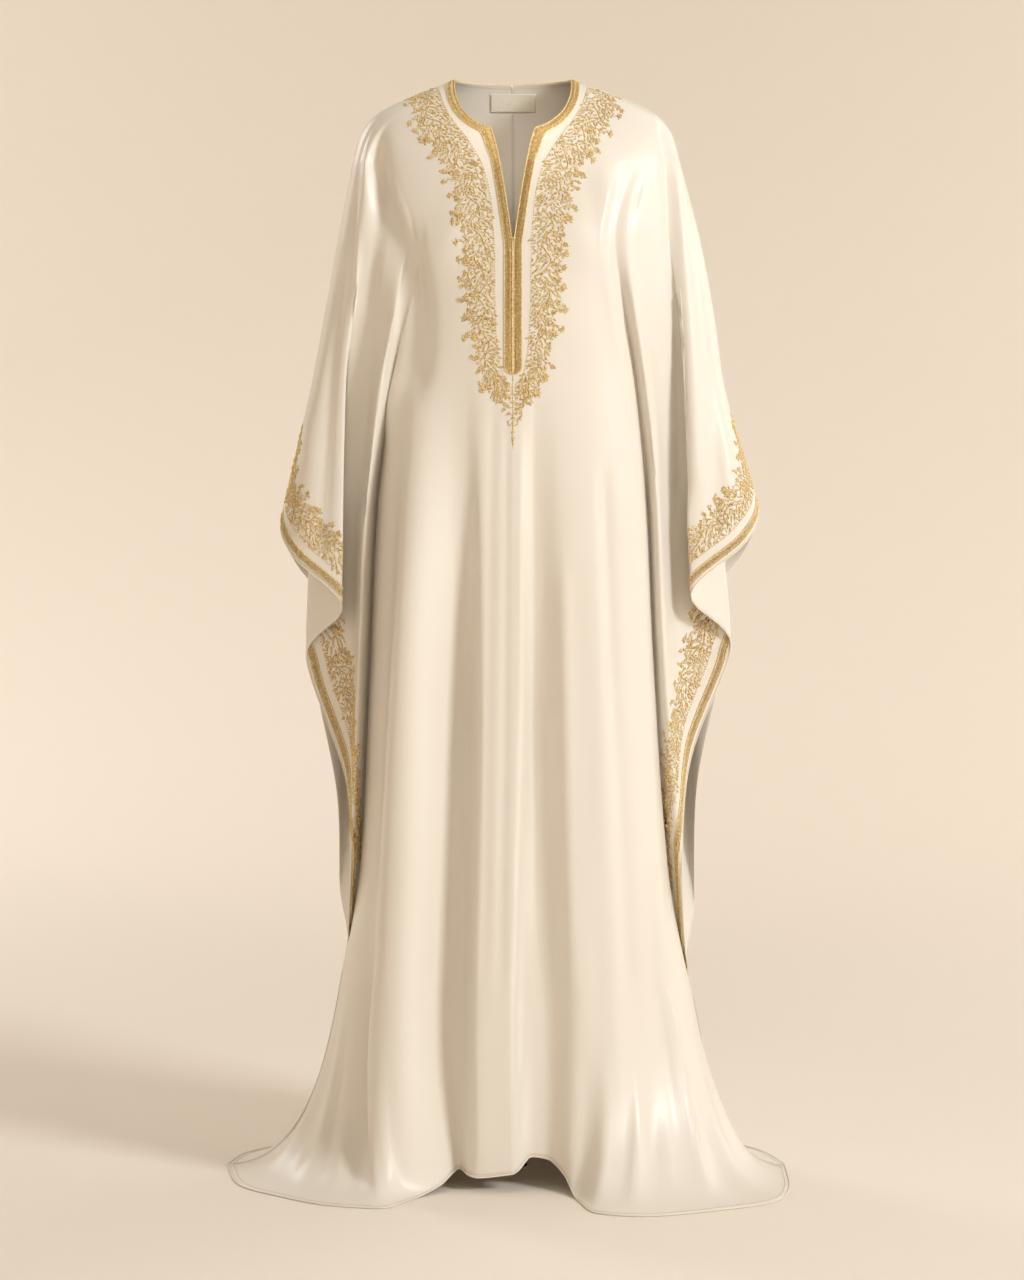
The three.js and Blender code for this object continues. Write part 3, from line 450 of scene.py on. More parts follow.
def neck_point(face, i):
    """A point of the neckline, as [out, z]."""
    if face == "back":
        part = 0 if i == 0 else mix(BRAID_WIDTH / NECK_HALF_WIDTH, 1, (i - 1) / (LAST - 1))
        part = i * BRAID_WIDTH / NECK_HALF_WIDTH if i < 1 else part
        return np.array([max(SEAM_GAP / 2, NECK_HALF_WIDTH * part), -2 * (1 - part)])
    places = len(NECKLINE["z"])
    place = i if i < 1 else mix(1, places - 1, (i - 1) / (LAST - 1))
    return np.array([float(through(range(places), NECKLINE[name], place)) for name in ("out", "z")])


def braid_edge_point(side, face, i):
    """A point of the neck braid's outer edge, as [out, z]."""
    out, z = neck_point(face, i)
    if i == LAST:
        return np.array([SHOULDERS[side][1], SHOULDERS["z"][1]])
    if face == "back":
        part = out / NECK_HALF_WIDTH
        spread = 1 + BACK_BRAID["spread"] / NECK_HALF_WIDTH * part**2
        return np.array([max(SEAM_GAP / 2, out * spread), z - BRAID_WIDTH + BACK_BRAID["rise"] * part**3])
    if i == 0:
        return np.array([float(slit_half(z - BRAID_WIDTH)), z - BRAID_WIDTH])
    if i < 1:
        return mix(braid_edge_point(side, face, 0), braid_edge_point(side, face, 1), i)
    before, after = neck_point(face, i - 1), neck_point(face, min(i + 1, LAST))
    along = (after - before) / np.hypot(*(after - before))
    reach = mix(BRAID_WIDTH - FRONT_BRAID["least"], BRAID_WIDTH + FRONT_BRAID["more"], i / LAST)
    turn = float(ease((i / LAST - FRONT_BRAID["turn_from"]) / FRONT_BRAID["turn_over"]))
    lean_out, lean_down = FRONT_BRAID["lean"]
    return np.array([out + mix(along[1], lean_out, turn) * reach, z - mix(along[0], lean_down, turn) * reach])


def shoulder_point(side, part):
    """The shoulder seam from the braid's edge to the top of the arm."""
    z = mix(SHOULDERS["z"][1], YOKE_BASE, 1 - math.cos(part * math.pi / 2) ** SHOULDER_POWER)
    return np.array([float(through(SHOULDERS["z"], SHOULDERS[side], z)), z])


def yoke_points(side, face, i, parts):
    """Yoke points of a column: blended from four edges in the view from the front, then given depth."""
    share = i / LAST
    top, base = braid_edge_point(side, face, i), base_point(side, face, i)
    top_first, top_last = braid_edge_point(side, face, 0), braid_edge_point(side, face, LAST)
    base_first, base_last = base_point(side, face, 0), base_point(side, face, LAST)
    points = []
    for part in parts:
        left_z = mix(top_first[1], YOKE_BASE, part)
        left = np.array([SEAM_GAP / 2 if face == "back" else float(slit_half(left_z)), left_z])
        right = shoulder_point(side, part)
        corners = mix(mix(top_first, base_first, part), mix(top_last, base_last, part), share)
        points.append(mix(top, base, part) + mix(left, right, share) - corners)
    out, z = np.array(points).T
    own_away = float(section_point(side, face, i, YOKE_BASE)[1][0])
    settle = own_away - float(yoke_away(side, face, base[0], YOKE_BASE))
    return out, yoke_away(side, face, out, z) + settle * np.asarray(parts), z


def base_point(side, face, i):
    return np.array([float(section_point(side, face, i, YOKE_BASE)[0][0]), YOKE_BASE])


def skirt_points(side, face, i, parts):
    """The skirt leaves its level section, keeps its direction a while, and sweeps out over the ground."""
    level = edge_height(side, face, i)
    out, away = section_point(side, face, i, level)[:, 0]
    out_above, away_above = section_point(side, face, i, level + SKIRT_PROBE)[:, 0]
    share = skirt_share(i)
    columns = {name: column(HEMS[side, face], HEM_COLUMNS, name) for name in HEM_COLUMNS}
    hem = {name: float(through(columns["at"], columns[name], share)) for name in HEM_COLUMNS[1:]}
    lying = 1 - min(1, hem["lift"] / HANGING_LIFT)
    start = np.array([out, away, level])
    above = np.array([out_above, away_above, level + SKIRT_PROBE])
    first = start + (start - above) * SKIRT_LEAD / SKIRT_PROBE
    end = np.array([hem["out"], hem["away"], FLOOR + WALL + hem["lift"]])
    hanging = np.append(mix(first[:2], end[:2], HANGING_BEND[0]), mix(first[2], end[2], HANGING_BEND[1]))
    swept = np.append(mix(first[:2], end[:2], SWEEP["start"]), FLOOR + WALL + SWEEP["lift"])
    second = mix(hanging, swept, lying)
    t = np.asarray(parts)[:, None]
    s = 1 - t
    curve = s**3 * start + 3 * s * s * t * first + 3 * s * t * t * second + t**3 * end
    wave = sum(height * math.exp(-(((share - at) / reach) ** 2)) for at, reach, height in RIDGES[side, face])
    curve[:, 2] += lying * wave * np.sin(math.pi * t[:, 0] ** RIDGE_POWER) ** 2
    return curve.T


def skirt_share(i):
    """The part of the hem, from the centre to the side, that a column reaches."""
    if i < 1:
        return i * BRAID_WIDTH / HALF_HEM
    first = BRAID_WIDTH / HALF_HEM
    if i < 2:
        return mix(first, mix(first, 1, BODY_PARTS[0]), i - 1)
    return mix(first, 1, body_part(i))


class Quarter:
    """The grid of one quarter: points[row, column], from the neckline to the hem and from the centre
    to the arm's top. Rows past the sleeve's edge stop at the side line."""

    def __init__(self, side, face):
        self.side, self.face = side, face
        self.places = np.concatenate([
            np.linspace(0, 1, CELLS["slit"], endpoint=False),
            np.linspace(1, SIDE, (SIDE - 1) * CELLS["body"], endpoint=False),
            np.linspace(SIDE, LAST, (LAST - SIDE) * CELLS["wing"] + 1),
        ])
        self.side_column = CELLS["slit"] + (SIDE - 1) * CELLS["body"]
        self.braid_row = CELLS["braid"]
        self.yoke_row = self.braid_row + CELLS["yoke"]
        self.edge_row = self.yoke_row + CELLS["hanging"]
        self.hem_row = self.edge_row + CELLS["skirt"]
        self.points = np.zeros((self.hem_row + 1, len(self.places), 3))
        for k, i in enumerate(self.places):
            self.points[:, k] = self.column_points(i)
        self.slit_row = int(np.argmax(self.points[:, 0, 2] < SLIT_END))
        if face == "front":
            self.points[self.slit_row:, 0, 0] = 0
        wing = self.side_column + 1
        self.points[self.edge_row + 1:, wing:] = self.points[self.edge_row, wing:]
        self.points += self.find_normals() * self.crease_relief()[..., None]
        self.normals = self.find_normals()

    def crease_relief(self):
        """How far the creases raise each point, fading out towards the seams and the sleeve's edge."""
        x, _, z = np.moveaxis(self.points, 2, 0)
        place = np.broadcast_to(self.places, x.shape)
        relief = np.zeros_like(x)
        for heights, at, reach, height, (first, last) in CREASES[self.face]:
            offset = x - through(heights, at, np.clip(z, heights[-1], heights[0]))
            hill = np.exp(-(offset / np.where(offset < 0, *reach)) ** 2)
            ends = ease((heights[0] - z) / CREASE_FADE + 0.5) * ease((z - heights[-1]) / CREASE_FADE + 0.5)
            relief += height * hill * ends * ease(place - first) * ease(last - place)
        rows = np.arange(len(x))[:, None]
        on_skirt = (rows > self.edge_row) & (place > SIDE)
        at_edge = ease((self.edge_row - rows) / CREASES_END["edge_rows"])
        fade = ease((LAST - place) / CREASES_END["arm"]) * np.where(place > SIDE, at_edge, 1)
        return np.where(on_skirt, 0, relief * fade)

    def column_points(self, i):
        side, face = self.side, self.face
        neck, edge = neck_point(face, i), braid_edge_point(side, face, i)
        braid = mix(neck, edge, np.linspace(0, 1, CELLS["braid"] + 1)[:, None])
        out, z = braid.T
        away = np.full_like(out, SEAM_GAP / 2) if i == LAST else yoke_away(side, face, out, z)
        blocks = [np.array([out, away, z])]
        yoke_parts = np.linspace(0, 1, CELLS["yoke"] + 1)[1:]
        blocks.append(np.array(yoke_points(side, face, i, yoke_parts)))
        heights = mix(YOKE_BASE, edge_height(side, face, i), np.linspace(0, 1, CELLS["hanging"] + 1)[1:])
        out, away = section_point(side, face, i, heights)
        blocks.append(np.array([out, away, heights]))
        if i <= SIDE:
            skirt = skirt_points(side, face, i, np.linspace(0, 1, CELLS["skirt"] + 1)[1:])
            if i == 0:
                skirt[0] = blocks[-1][0, -1]
            if i == SIDE:
                skirt[1] = SEAM_GAP / 2
            blocks.append(skirt)
        else:
            blocks.append(np.zeros((3, CELLS["skirt"])))
        out, away, z = np.concatenate(blocks, axis=1)
        return np.array([out * (-1 if side == "left" else 1), away * (-1 if face == "front" else 1), z]).T

    def find_normals(self):
        """Unit normals out of the garment, square to the seams' planes along the seams."""
        down = np.gradient(self.points, axis=0)
        across = np.gradient(self.points, axis=1)
        edge, side = self.edge_row, self.side_column
        down[edge] = self.points[edge] - self.points[edge - 1]
        across[edge + 1:, side] = self.points[edge + 1:, side] - self.points[edge + 1:, side - 1]
        normals = np.cross(across, down)
        if (self.side == "right") == (self.face == "front"):
            normals = -normals
        if self.face == "back":
            normals[:, 0, 0] = 0
        normals[self.slit_row:, 0, 0] = 0
        normals[:, -1, 1] = 0
        normals[edge:, side, 1] = 0
        return normals / np.maximum(np.linalg.norm(normals, axis=2, keepdims=True), 1e-9)

    def cells(self):
        """[row, column] of each cell's corner nearest the centre and the neck."""
        rows, columns = np.mgrid[0:self.hem_row, 0:len(self.places) - 1]
        keep = (rows < self.edge_row) | (columns < self.side_column)
        return np.array([rows[keep], columns[keep]]).T

    def sample(self, v, u):
        """Points and normals at fractional rows v and columns u."""
        v = np.clip(v, 0, self.points.shape[0] - 1.001)
        u = np.clip(u, 0, self.points.shape[1] - 1.001)
        j, i = v.astype(int), u.astype(int)
        t, s = (v - j)[..., None], (u - i)[..., None]

        def blend(grid):
            return mix(mix(grid[j, i], grid[j, i + 1], s), mix(grid[j + 1, i], grid[j + 1, i + 1], s), t)

        normal = blend(self.normals)
        return blend(self.points), normal / np.maximum(np.linalg.norm(normal, axis=-1, keepdims=True), 1e-9)


# ------------------------------------------------------------------ meshes and pieces
def add_piece(name, points, faces, material, slot, nodes=()):
    """A mesh of the garment, from points in millimetres and faces as tuples of their indices."""
    mesh = bpy.data.meshes.new(name)
    mesh.from_pydata((np.asarray(points) * MM).tolist(), [], [list(map(int, face)) for face in faces])
    mesh.validate()
    mesh.polygons.foreach_set("use_smooth", [True] * len(mesh.polygons))
    mesh.materials.append(material)
    piece = bpy.data.objects.new(name, mesh)
    bpy.context.scene.collection.objects.link(piece)
    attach(piece, "root")
    if nodes:
        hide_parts(*nodes)
    return piece


def own_side(y, face, limit):
    """Depths kept clear of the arm's plane, where the front and the back meet."""
    return np.minimum(y, -limit) if face == "front" else np.maximum(y, limit)


def shell(quarters, thickness):
    """Points and faces of a closed shell over whole quarters. Quarters that share a centre are joined
    below the slit. It keeps to its own side of the arm's plane and above the ground."""
    outer, inner, faces, offset = [], [], [], 0
    shared = None
    for quarter in quarters:
        rows, columns = quarter.points.shape[:2]
        ids = np.arange(rows * columns).reshape(rows, columns) + offset
        if quarter.face == "front":
            if shared is None:
                shared = ids[quarter.slit_row:, 0].copy()
            else:
                ids[quarter.slit_row:, 0] = shared
        offset += rows * columns
        points = quarter.points.reshape(-1, 3)
        inside = points - quarter.normals.reshape(-1, 3) * thickness
        for block in (points, inside):
            block[:, 2] = np.maximum(block[:, 2], FLOOR + FLOOR_CLEAR)
            block[:, 1] = own_side(block[:, 1], quarter.face, SEAM_GAP / 2)
        outer.append(points)
        inner.append(inside)
        j, i = quarter.cells().T
        ring = np.array([ids[j, i], ids[j + 1, i], ids[j + 1, i + 1], ids[j, i + 1]]).T
        faces.append(ring if (quarter.side == "right") == (quarter.face == "front") else ring[:, ::-1])
    outer, inner, faces = np.concatenate(outer), np.concatenate(inner), np.concatenate(faces)
    count = len(outer)
    edges = np.concatenate([faces[:, [k, (k + 1) % 4]] for k in range(4)])
    codes = edges[:, 0] * count + edges[:, 1]
    open_edges = edges[~np.isin(codes, edges[:, 1] * count + edges[:, 0])]
    a, b = open_edges.T
    rims = np.array([b, a, a + count, b + count]).T
    everything = np.concatenate([faces, faces[:, ::-1] + count, rims])
    used, renumbered = np.unique(everything, return_inverse=True)
    return np.concatenate([outer, inner])[used], renumbered.reshape(everything.shape)


# ------------------------------------------------------------------ materials
def new_material(name):
    material = bpy.data.materials.new(name)
    material.use_nodes = True
    tree = material.node_tree
    return material, tree.nodes, tree.links, tree.nodes["Principled BSDF"]


def noise(nodes, links, coordinates, scale, detail=2.0, stretch=None):
    """A noise texture over object coordinates, stretched along the axes if asked."""
    texture = nodes.new("ShaderNodeTexNoise")
    texture.inputs["Scale"].default_value = scale
    texture.inputs["Detail"].default_value = detail
    if stretch:
        mapping = nodes.new("ShaderNodeMapping")
        mapping.inputs["Scale"].default_value = stretch
        links.new(coordinates, mapping.inputs["Vector"])
        coordinates = mapping.outputs["Vector"]
    links.new(coordinates, texture.inputs["Vector"])
    return texture.outputs["Fac"]


def ramp(nodes, links, value, colours):
    """A colour ramp with (position, colour) stops."""
    node = nodes.new("ShaderNodeValToRGB")
    elements = node.color_ramp.elements
    while len(elements) < len(colours):
        elements.new(0.5)
    for element, (position, colour) in zip(elements, colours):
        element.position = position
        element.color = (*colour, 1)
    links.new(value, node.inputs["Fac"])
    return node.outputs["Color"]


def bump(nodes, links, height, distance, strength, under=None):
    node = nodes.new("ShaderNodeBump")
    node.inputs["Distance"].default_value = distance
    node.inputs["Strength"].default_value = strength
    links.new(height, node.inputs["Height"])
    if under is not None:
        links.new(under, node.inputs["Normal"])
    return node.outputs["Normal"]


def satin_material():
    """Ivory satin: a tight weave too fine to see from a step away, slubs along the fall, and a sheen."""
    material, nodes, links, shader = new_material("ivory_satin")
    where = nodes.new("ShaderNodeTexCoord").outputs["Object"]
    tone = noise(nodes, links, where, 7.0, 3.0, stretch=(1.6, 1.6, 0.5))
    colour = ramp(nodes, links, tone, [(0.25, SATIN_TONES[0]), (0.75, SATIN_TONES[1])])
    links.new(colour, shader.inputs["Base Color"])
    gloss = nodes.new("ShaderNodeMapRange")
    gloss.inputs["To Min"].default_value = 0.32
    gloss.inputs["To Max"].default_value = 0.42
    links.new(noise(nodes, links, where, 40.0, 2.0, stretch=(1, 1, 0.2)), gloss.inputs["Value"])
    links.new(gloss.outputs["Result"], shader.inputs["Roughness"])
    slub = noise(nodes, links, where, 900.0, 1.0, stretch=(1, 1, 0.12))
    buckle = noise(nodes, links, where, 16.0, 2.0, stretch=(1, 1, 0.25))
    soft = bump(nodes, links, buckle, 0.0012, 0.35)
    links.new(bump(nodes, links, slub, 0.00006, 0.35, under=soft), shader.inputs["Normal"])
    shader.inputs["Specular IOR Level"].default_value = 0.5
    shader.inputs["Sheen Weight"].default_value = 0.22
    shader.inputs["Sheen Roughness"].default_value = 0.35
    shader.inputs["Sheen Tint"].default_value = (1.0, 0.93, 0.8, 1)
    glow = nodes.new("ShaderNodeBsdfTranslucent")
    glow.inputs["Color"].default_value = (*THROUGH_TONE, 1)
    blend = nodes.new("ShaderNodeMixShader")
    blend.inputs["Fac"].default_value = THROUGH_SHARE
    links.new(shader.outputs["BSDF"], blend.inputs[1])
    links.new(glow.outputs["BSDF"], blend.inputs[2])
    links.new(blend.outputs["Shader"], nodes["Material Output"].inputs["Surface"])
    return material


def gold_material(name, tones, pitch, metallic, roughness=0.42):
    """Metallic thread: laid strands as a fine bump, and random tones from dark to bright gold, partly painted
    highlight and shade.
    """
    material, nodes, links, shader = new_material(name)
    where = nodes.new("ShaderNodeTexCoord").outputs["Object"]
    # random tone over the thread: partly its own tone, partly painted highlight and painted shade
    tone = noise(nodes, links, where, 420.0, 2.0)
    colour = ramp(nodes, links, tone, [(0.3, tones[0]), (0.52, tones[1]), (0.7, tones[2])])
    links.new(colour, shader.inputs["Base Color"])
    shader.inputs["Metallic"].default_value = metallic
    shader.inputs["Roughness"].default_value = roughness
    strands = nodes.new("ShaderNodeTexWave")
    strands.wave_type = "BANDS"
    strands.bands_direction = "DIAGONAL"
    strands.inputs["Scale"].default_value = 0.314 / (pitch * MM)
    strands.inputs["Distortion"].default_value = 1.5
    links.new(where, strands.inputs["Vector"])
    links.new(bump(nodes, links, strands.outputs["Fac"], 0.00025, 0.5), shader.inputs["Normal"])
    return material


def tape_material(name, colour):
    """Woven tape or sewing thread in one colour, with a fine weave."""
    material, nodes, links, shader = new_material(name)
    where = nodes.new("ShaderNodeTexCoord").outputs["Object"]
    dark = tuple(0.86 * c for c in colour)
    tone = ramp(nodes, links, noise(nodes, links, where, 700.0), [(0.3, dark), (0.7, colour)])
    links.new(tone, shader.inputs["Base Color"])
    weave = nodes.new("ShaderNodeTexWave")
    weave.inputs["Scale"].default_value = 600.0
    links.new(where, weave.inputs["Vector"])
    links.new(bump(nodes, links, weave.outputs["Fac"], 0.0001, 0.4), shader.inputs["Normal"])
    shader.inputs["Roughness"].default_value = 0.6
    return material


SATIN_TONES = [(0.87, 0.812, 0.724), (0.905, 0.858, 0.785)]
THROUGH_TONE = (0.96, 0.80, 0.58)      # light that comes through the thin cloth
THROUGH_SHARE = 0.1
SATIN = satin_material()
# Golds by their dark, middle and bright tones (partly painted shade and highlight), the pitch of their
# strands, and how metallic they are.
GOLDS = {
    "gold_thread": ([(0.56, 0.37, 0.14), (0.85, 0.64, 0.30), (0.99, 0.86, 0.54)], 0.5, 0.3),
    "laid_gold_ground": ([(0.50, 0.33, 0.13), (0.71, 0.52, 0.24), (0.87, 0.70, 0.38)], 0.5, 0.25),
    "champagne_ground": ([(0.64, 0.49, 0.28), (0.79, 0.65, 0.42), (0.90, 0.79, 0.57)], 0.5, 0.2),
    "pale_gold_cord": ([(0.74, 0.51, 0.2), (0.92, 0.72, 0.36), (0.99, 0.87, 0.58)], 0.6, 0.2),
}
GOLD, DARK_GOLD, CHAMPAGNE, PALE_GOLD = (gold_material(name, *made) for name, made in GOLDS.items())
TAPE = tape_material("label_tape", (0.92, 0.86, 0.75))
THREAD = tape_material("sewing_thread", (0.62, 0.46, 0.27))


# ------------------------------------------------------------------ the panels
QUARTERS = {(side, face): Quarter(side, face) for side in ("left", "right") for face in ("front", "back")}


def panels():
    front = [QUARTERS["left", "front"], QUARTERS["right", "front"]]
    made = {"front_panel": add_piece("front_cloth", *shell(front, CLOTH), SATIN, "satin", ["front_panel"])}
    for side in ("left", "right"):
        node = f"back_{side}_panel"
        cloth = shell([QUARTERS[side, "back"]], CLOTH)
        made[node] = add_piece(f"back_{side}_cloth", *cloth, SATIN, "satin", [node])
    return made


PANELS = panels()


# ------------------------------------------------------------------ bands laid on the cloth
class Band:
    """A strip of the cloth: s runs along it and d across it, both in millimetres. Work laid on it is
    drawn in s and d, with a height h above the cloth, and mapped onto the surface."""

    def __init__(self, quarter, rows, columns, d_values):
        self.points, self.normals = quarter.sample(rows, columns)
        self.d_values = np.asarray(d_values, float)
        self.measure_along(len(self.d_values) // 2)

    def measure_along(self, row):
        """Takes s from the length of one of the strip's lines."""
        steps = np.linalg.norm(np.diff(self.points[row], axis=0), axis=1)
        self.s_values = np.concatenate([[0], np.cumsum(steps)])
        self.length = self.s_values[-1]

    def map(self, work):
        s, d, h = np.asarray(work, float).T
        i = np.interp(s, self.s_values, np.arange(len(self.s_values)))
        j = np.interp(d, self.d_values, np.arange(len(self.d_values)))
        i0 = np.minimum(i.astype(int), len(self.s_values) - 2)
        j0 = np.minimum(j.astype(int), len(self.d_values) - 2)
        a, b = (i - i0)[:, None], (j - j0)[:, None]

        def blend(grid):
            near = mix(grid[j0, i0], grid[j0, i0 + 1], a)
            return mix(near, mix(grid[j0 + 1, i0], grid[j0 + 1, i0 + 1], a), b)

        normal = blend(self.normals)
        normal /= np.maximum(np.linalg.norm(normal, axis=1, keepdims=True), 1e-9)
        return blend(self.points) + normal * h[:, None]


def cell_slopes(quarter, v, u):
    """How the surface moves for one row and for one column at fractional places above the hem."""
    j = np.clip(v.astype(int), 0, quarter.edge_row - 1)
    i = np.clip(u.astype(int), 0, quarter.points.shape[1] - 2)
    p = quarter.points
    t, s = np.clip(v - j, 0, 1)[:, None], np.clip(u - i, 0, 1)[:, None]
    per_row = mix(p[j + 1, i] - p[j, i], p[j + 1, i + 1] - p[j, i + 1], s)
    per_column = mix(p[j, i + 1] - p[j, i], p[j + 1, i + 1] - p[j + 1, i], t)
    return per_row, per_column


def beside(quarter, v, u, d_values, flip=1):
    """Rows and columns of lines that run beside a line on the cloth, each a step further across it."""
    line, normal = quarter.sample(v, u)
    along = np.gradient(line, axis=0)
    across = np.cross(normal, along) * flip
    limits = [0, quarter.edge_row - 1e-3, 0, quarter.points.shape[1] - 1.001]
    found = {}
    for direction in (1, -1):
        rows, columns, heading = v.astype(float).copy(), u.astype(float).copy(), across * direction
        reached = 0.0
        targets = sorted([d for d in d_values if d * direction > 0], key=abs)
        found[0.0] = (v.astype(float), u.astype(float))
        for target in targets:
            _, normal = quarter.sample(rows, columns)
            heading = heading - (heading * normal).sum(1, keepdims=True) * normal
            heading /= np.maximum(np.linalg.norm(heading, axis=1, keepdims=True), 1e-9)
            per_row, per_column = cell_slopes(quarter, rows, columns)
            a, b, c = (per_row**2).sum(1), (per_row * per_column).sum(1), (per_column**2).sum(1)
            p, q = (heading * per_row).sum(1), (heading * per_column).sum(1)
            step = abs(target) - reached
            scale = step / np.maximum(a * c - b * b, 1e-9)
            rows = np.clip(rows + (c * p - b * q) * scale, *limits[:2])
            columns = np.clip(columns + (a * q - b * p) * scale, *limits[2:])
            found[float(target)] = (rows.copy(), columns.copy())
            reached = abs(target)
    chosen = [found[float(d)] for d in d_values]
    return np.array([c[0] for c in chosen]), np.array([c[1] for c in chosen])


def band_beside(quarter, rows, columns, d_values, flip):
    """A band beside a line on the cloth, with s measured along that line."""
    band = Band(quarter, *beside(quarter, rows, columns, d_values, flip), d_values)
    band.measure_along(int(np.argmin(np.abs(d_values))))
    return band


PLACE_STEPS = 12             # steps of the search for a point on the cloth


def place_on(quarter, out, z):
    """Rows and columns of points given by their place in the view from the front."""
    sign = -1 if quarter.side == "left" else 1
    targets = np.array([np.asarray(out) * sign, z]).T
    flat = quarter.points[:quarter.edge_row, :, [0, 2]]
    rows, columns = [], []
    for target in targets:
        gap = ((flat - target) ** 2).sum(2)
        gap[quarter.yoke_row:, quarter.side_column:] = np.inf
        j, i = np.unravel_index(np.argmin(gap), gap.shape)
        v, u = np.array([float(j)]), np.array([float(i)])
        for _ in range(PLACE_STEPS):
            per_row, per_column = cell_slopes(quarter, v, u)
            here = quarter.sample(v, u)[0][0, [0, 2]]
            slopes = np.array([per_row[0, [0, 2]], per_column[0, [0, 2]]]).T
            move = np.linalg.lstsq(slopes, target - here, rcond=None)[0]
            v = np.clip(v + np.clip(move[0], -1, 1), 0, quarter.edge_row - 1)
            u = np.clip(u + np.clip(move[1], -1, 1), 0, quarter.points.shape[1] - 1.001)
        rows.append(v[0])
        columns.append(u[0])
    return np.array(rows), np.array(columns)


class Centre:
    """The cloth near the front's centre line: s runs across, to the right, and d up."""

    def map(self, work):
        x, z, h = np.asarray(work, float).T
        depth = centre_depth("front", z) + fold_relief("front", x, z)
        return np.array([x, -depth - h, z]).T


class Work:
    """Thread work drawn in a band's s and d: couched stems, satin-stitched leaves and beads."""

    def __init__(self):
        self.points, self.faces = [], []
        self.marks = []

    def add(self, points, faces):
        start = len(self.points)
        self.points.extend(points)
        self.faces.extend([tuple(start + k for k in face) for face in faces])

    def stem(self, path, width=1.3, height=0.9, foot=0.0, taper=0.0):
        path = np.asarray(path, float)
        along = np.gradient(path, axis=0)
        along /= np.maximum(np.linalg.norm(along, axis=1, keepdims=True), 1e-9)
        points = []
        for k, ((s, d), (a, b)) in enumerate(zip(path, along)):
            half = 0.5 * width * (1 - taper * k / (len(path) - 1))
            points += [
                (s - b * half, d + a * half, foot + 0.15), (s, d, foot + height),
                (s + b * half, d - a * half, foot + 0.15), (s, d, foot - 0.15),
            ]
        faces = [
            (4 * k + e, 4 * k + 4 + e, 4 * k + 4 + (e + 1) % 4, 4 * k + (e + 1) % 4)
            for k in range(len(path) - 1)
            for e in range(4)
        ]
        end = 4 * (len(path) - 1)
        self.add(points, faces + [(0, 1, 2, 3), (end + 3, end + 2, end + 1, end)])

    def leaf(self, s, d, angle, length=5.5, width=2.3, height=0.9):
        outline = [(0, 0), (0.3, 0.42), (0.66, 0.4), (1, 0), (0.66, -0.4), (0.3, -0.42)]
        ridge = [(0.26, 0), (0.7, 0)]
        c, n = math.cos(angle), math.sin(angle)
        points = []
        for (a, b), h in [(p, 0.1) for p in outline] + [(p, height) for p in ridge]:
            a, b = a * length, b * width
            points.append((s + a * c - b * n, d + a * n + b * c, h))
        faces = [
            (0, 1, 6), (1, 2, 7, 6), (2, 3, 7), (3, 4, 7), (4, 5, 6, 7), (5, 0, 6), (5, 4, 3, 2, 1, 0),
        ]
        self.add(points, [face[::-1] for face in faces])
        self.marks.append((s + 0.5 * length * c, d + 0.5 * length * n, 0.5 * length))

    def bead(self, s, d, radius=1.1, foot=0.0):
        points = []
        for share, h in ((0.8, 0.0), (1.0, 0.65)):
            for k in range(6):
                turn = k * math.pi / 3
                reach = share * radius
                points.append((s + reach * math.cos(turn), d + reach * math.sin(turn), foot + h * radius))
        points.append((s, d, foot + 1.35 * radius))
        faces = [tuple(range(6))[::-1]]
        for k in range(6):
            n = (k + 1) % 6
            faces += [(k, n, 6 + n, 6 + k), (6 + k, 6 + n, 12)]
        self.add(points, faces)
        self.marks.append((s, d, radius))

    def clear(self, s, d, room):
        if not self.marks:
            return True
        marks = np.array(self.marks)
        return bool((np.hypot(marks[:, 0] - s, marks[:, 1] - d) > room + 0.55 * marks[:, 2]).all())


def curl(s, d, angle, turn, length, tighten):
    """A path that leaves (s, d) at an angle and winds up, by turn radians in all."""
    count = max(4, int(length / 1.8))
    path = [(s, d)]
    for k in range(count):
        share = (k + 0.5) / count
        heading = angle + turn * share**tighten
        s, d = s + math.cos(heading) * length / count, d + math.sin(heading) * length / count
        path.append((s, d))
    return path


def sprig(work, rng, s, d, angle, length):
    """A short stalk that branches, each branch with small leaves and a cluster of leaves or berries."""
    path = curl(s, d, angle, rng.uniform(-0.6, 0.6), length, 1.0)
    work.stem(path, 1.2, 0.9, taper=0.25)
    heading = math.atan2(path[-1][1] - path[-2][1], path[-1][0] - path[-2][0])
    for k in range(2, len(path) - 1, 2):
        side = 1 if (k // 2) % 2 else -1
        if rng.random() < 0.35:
            lean, reach = side * rng.uniform(0.7, 1.1), rng.uniform(4.5, 7.0)
            branch = curl(*path[k], heading + lean, -side * 0.9, reach, 1.0)
            work.stem(branch, 1.0, 0.8, taper=0.3)
            cluster(work, rng, *branch[-1], heading + side * 0.5, 0.8)
        else:
            work.leaf(*path[k], heading + side * rng.uniform(0.6, 1.1), rng.uniform(4.2, 6.2), 2.9)
    cluster(work, rng, *path[-1], heading, 1.0)


def cluster(work, rng, s, d, heading, size):
    """Three to five small leaves fanned out, or a bunch of berries."""
    if rng.random() < 0.6:
        count = int(rng.integers(3, 6))
        for fan in np.linspace(-1.15, 1.15, count) + rng.uniform(-0.12, 0.12, count):
            work.leaf(s, d, heading + fan, size * rng.uniform(5.0, 7.4), size * 3.1)
        work.bead(s, d, 1.3 * size)
    else:
        for reach, fan in ((1.3, -1.3), (1.3, 1.3), (2.6, -0.55), (2.6, 0.55), (4.2, 0.0)):
            reach *= size * rng.uniform(0.9, 1.15)
            work.bead(s + reach * math.cos(heading + fan), d + reach * math.sin(heading + fan), 1.45 * size)


VINE_FILL = 8                # small leaves and berries tried for each millimetre of a vine


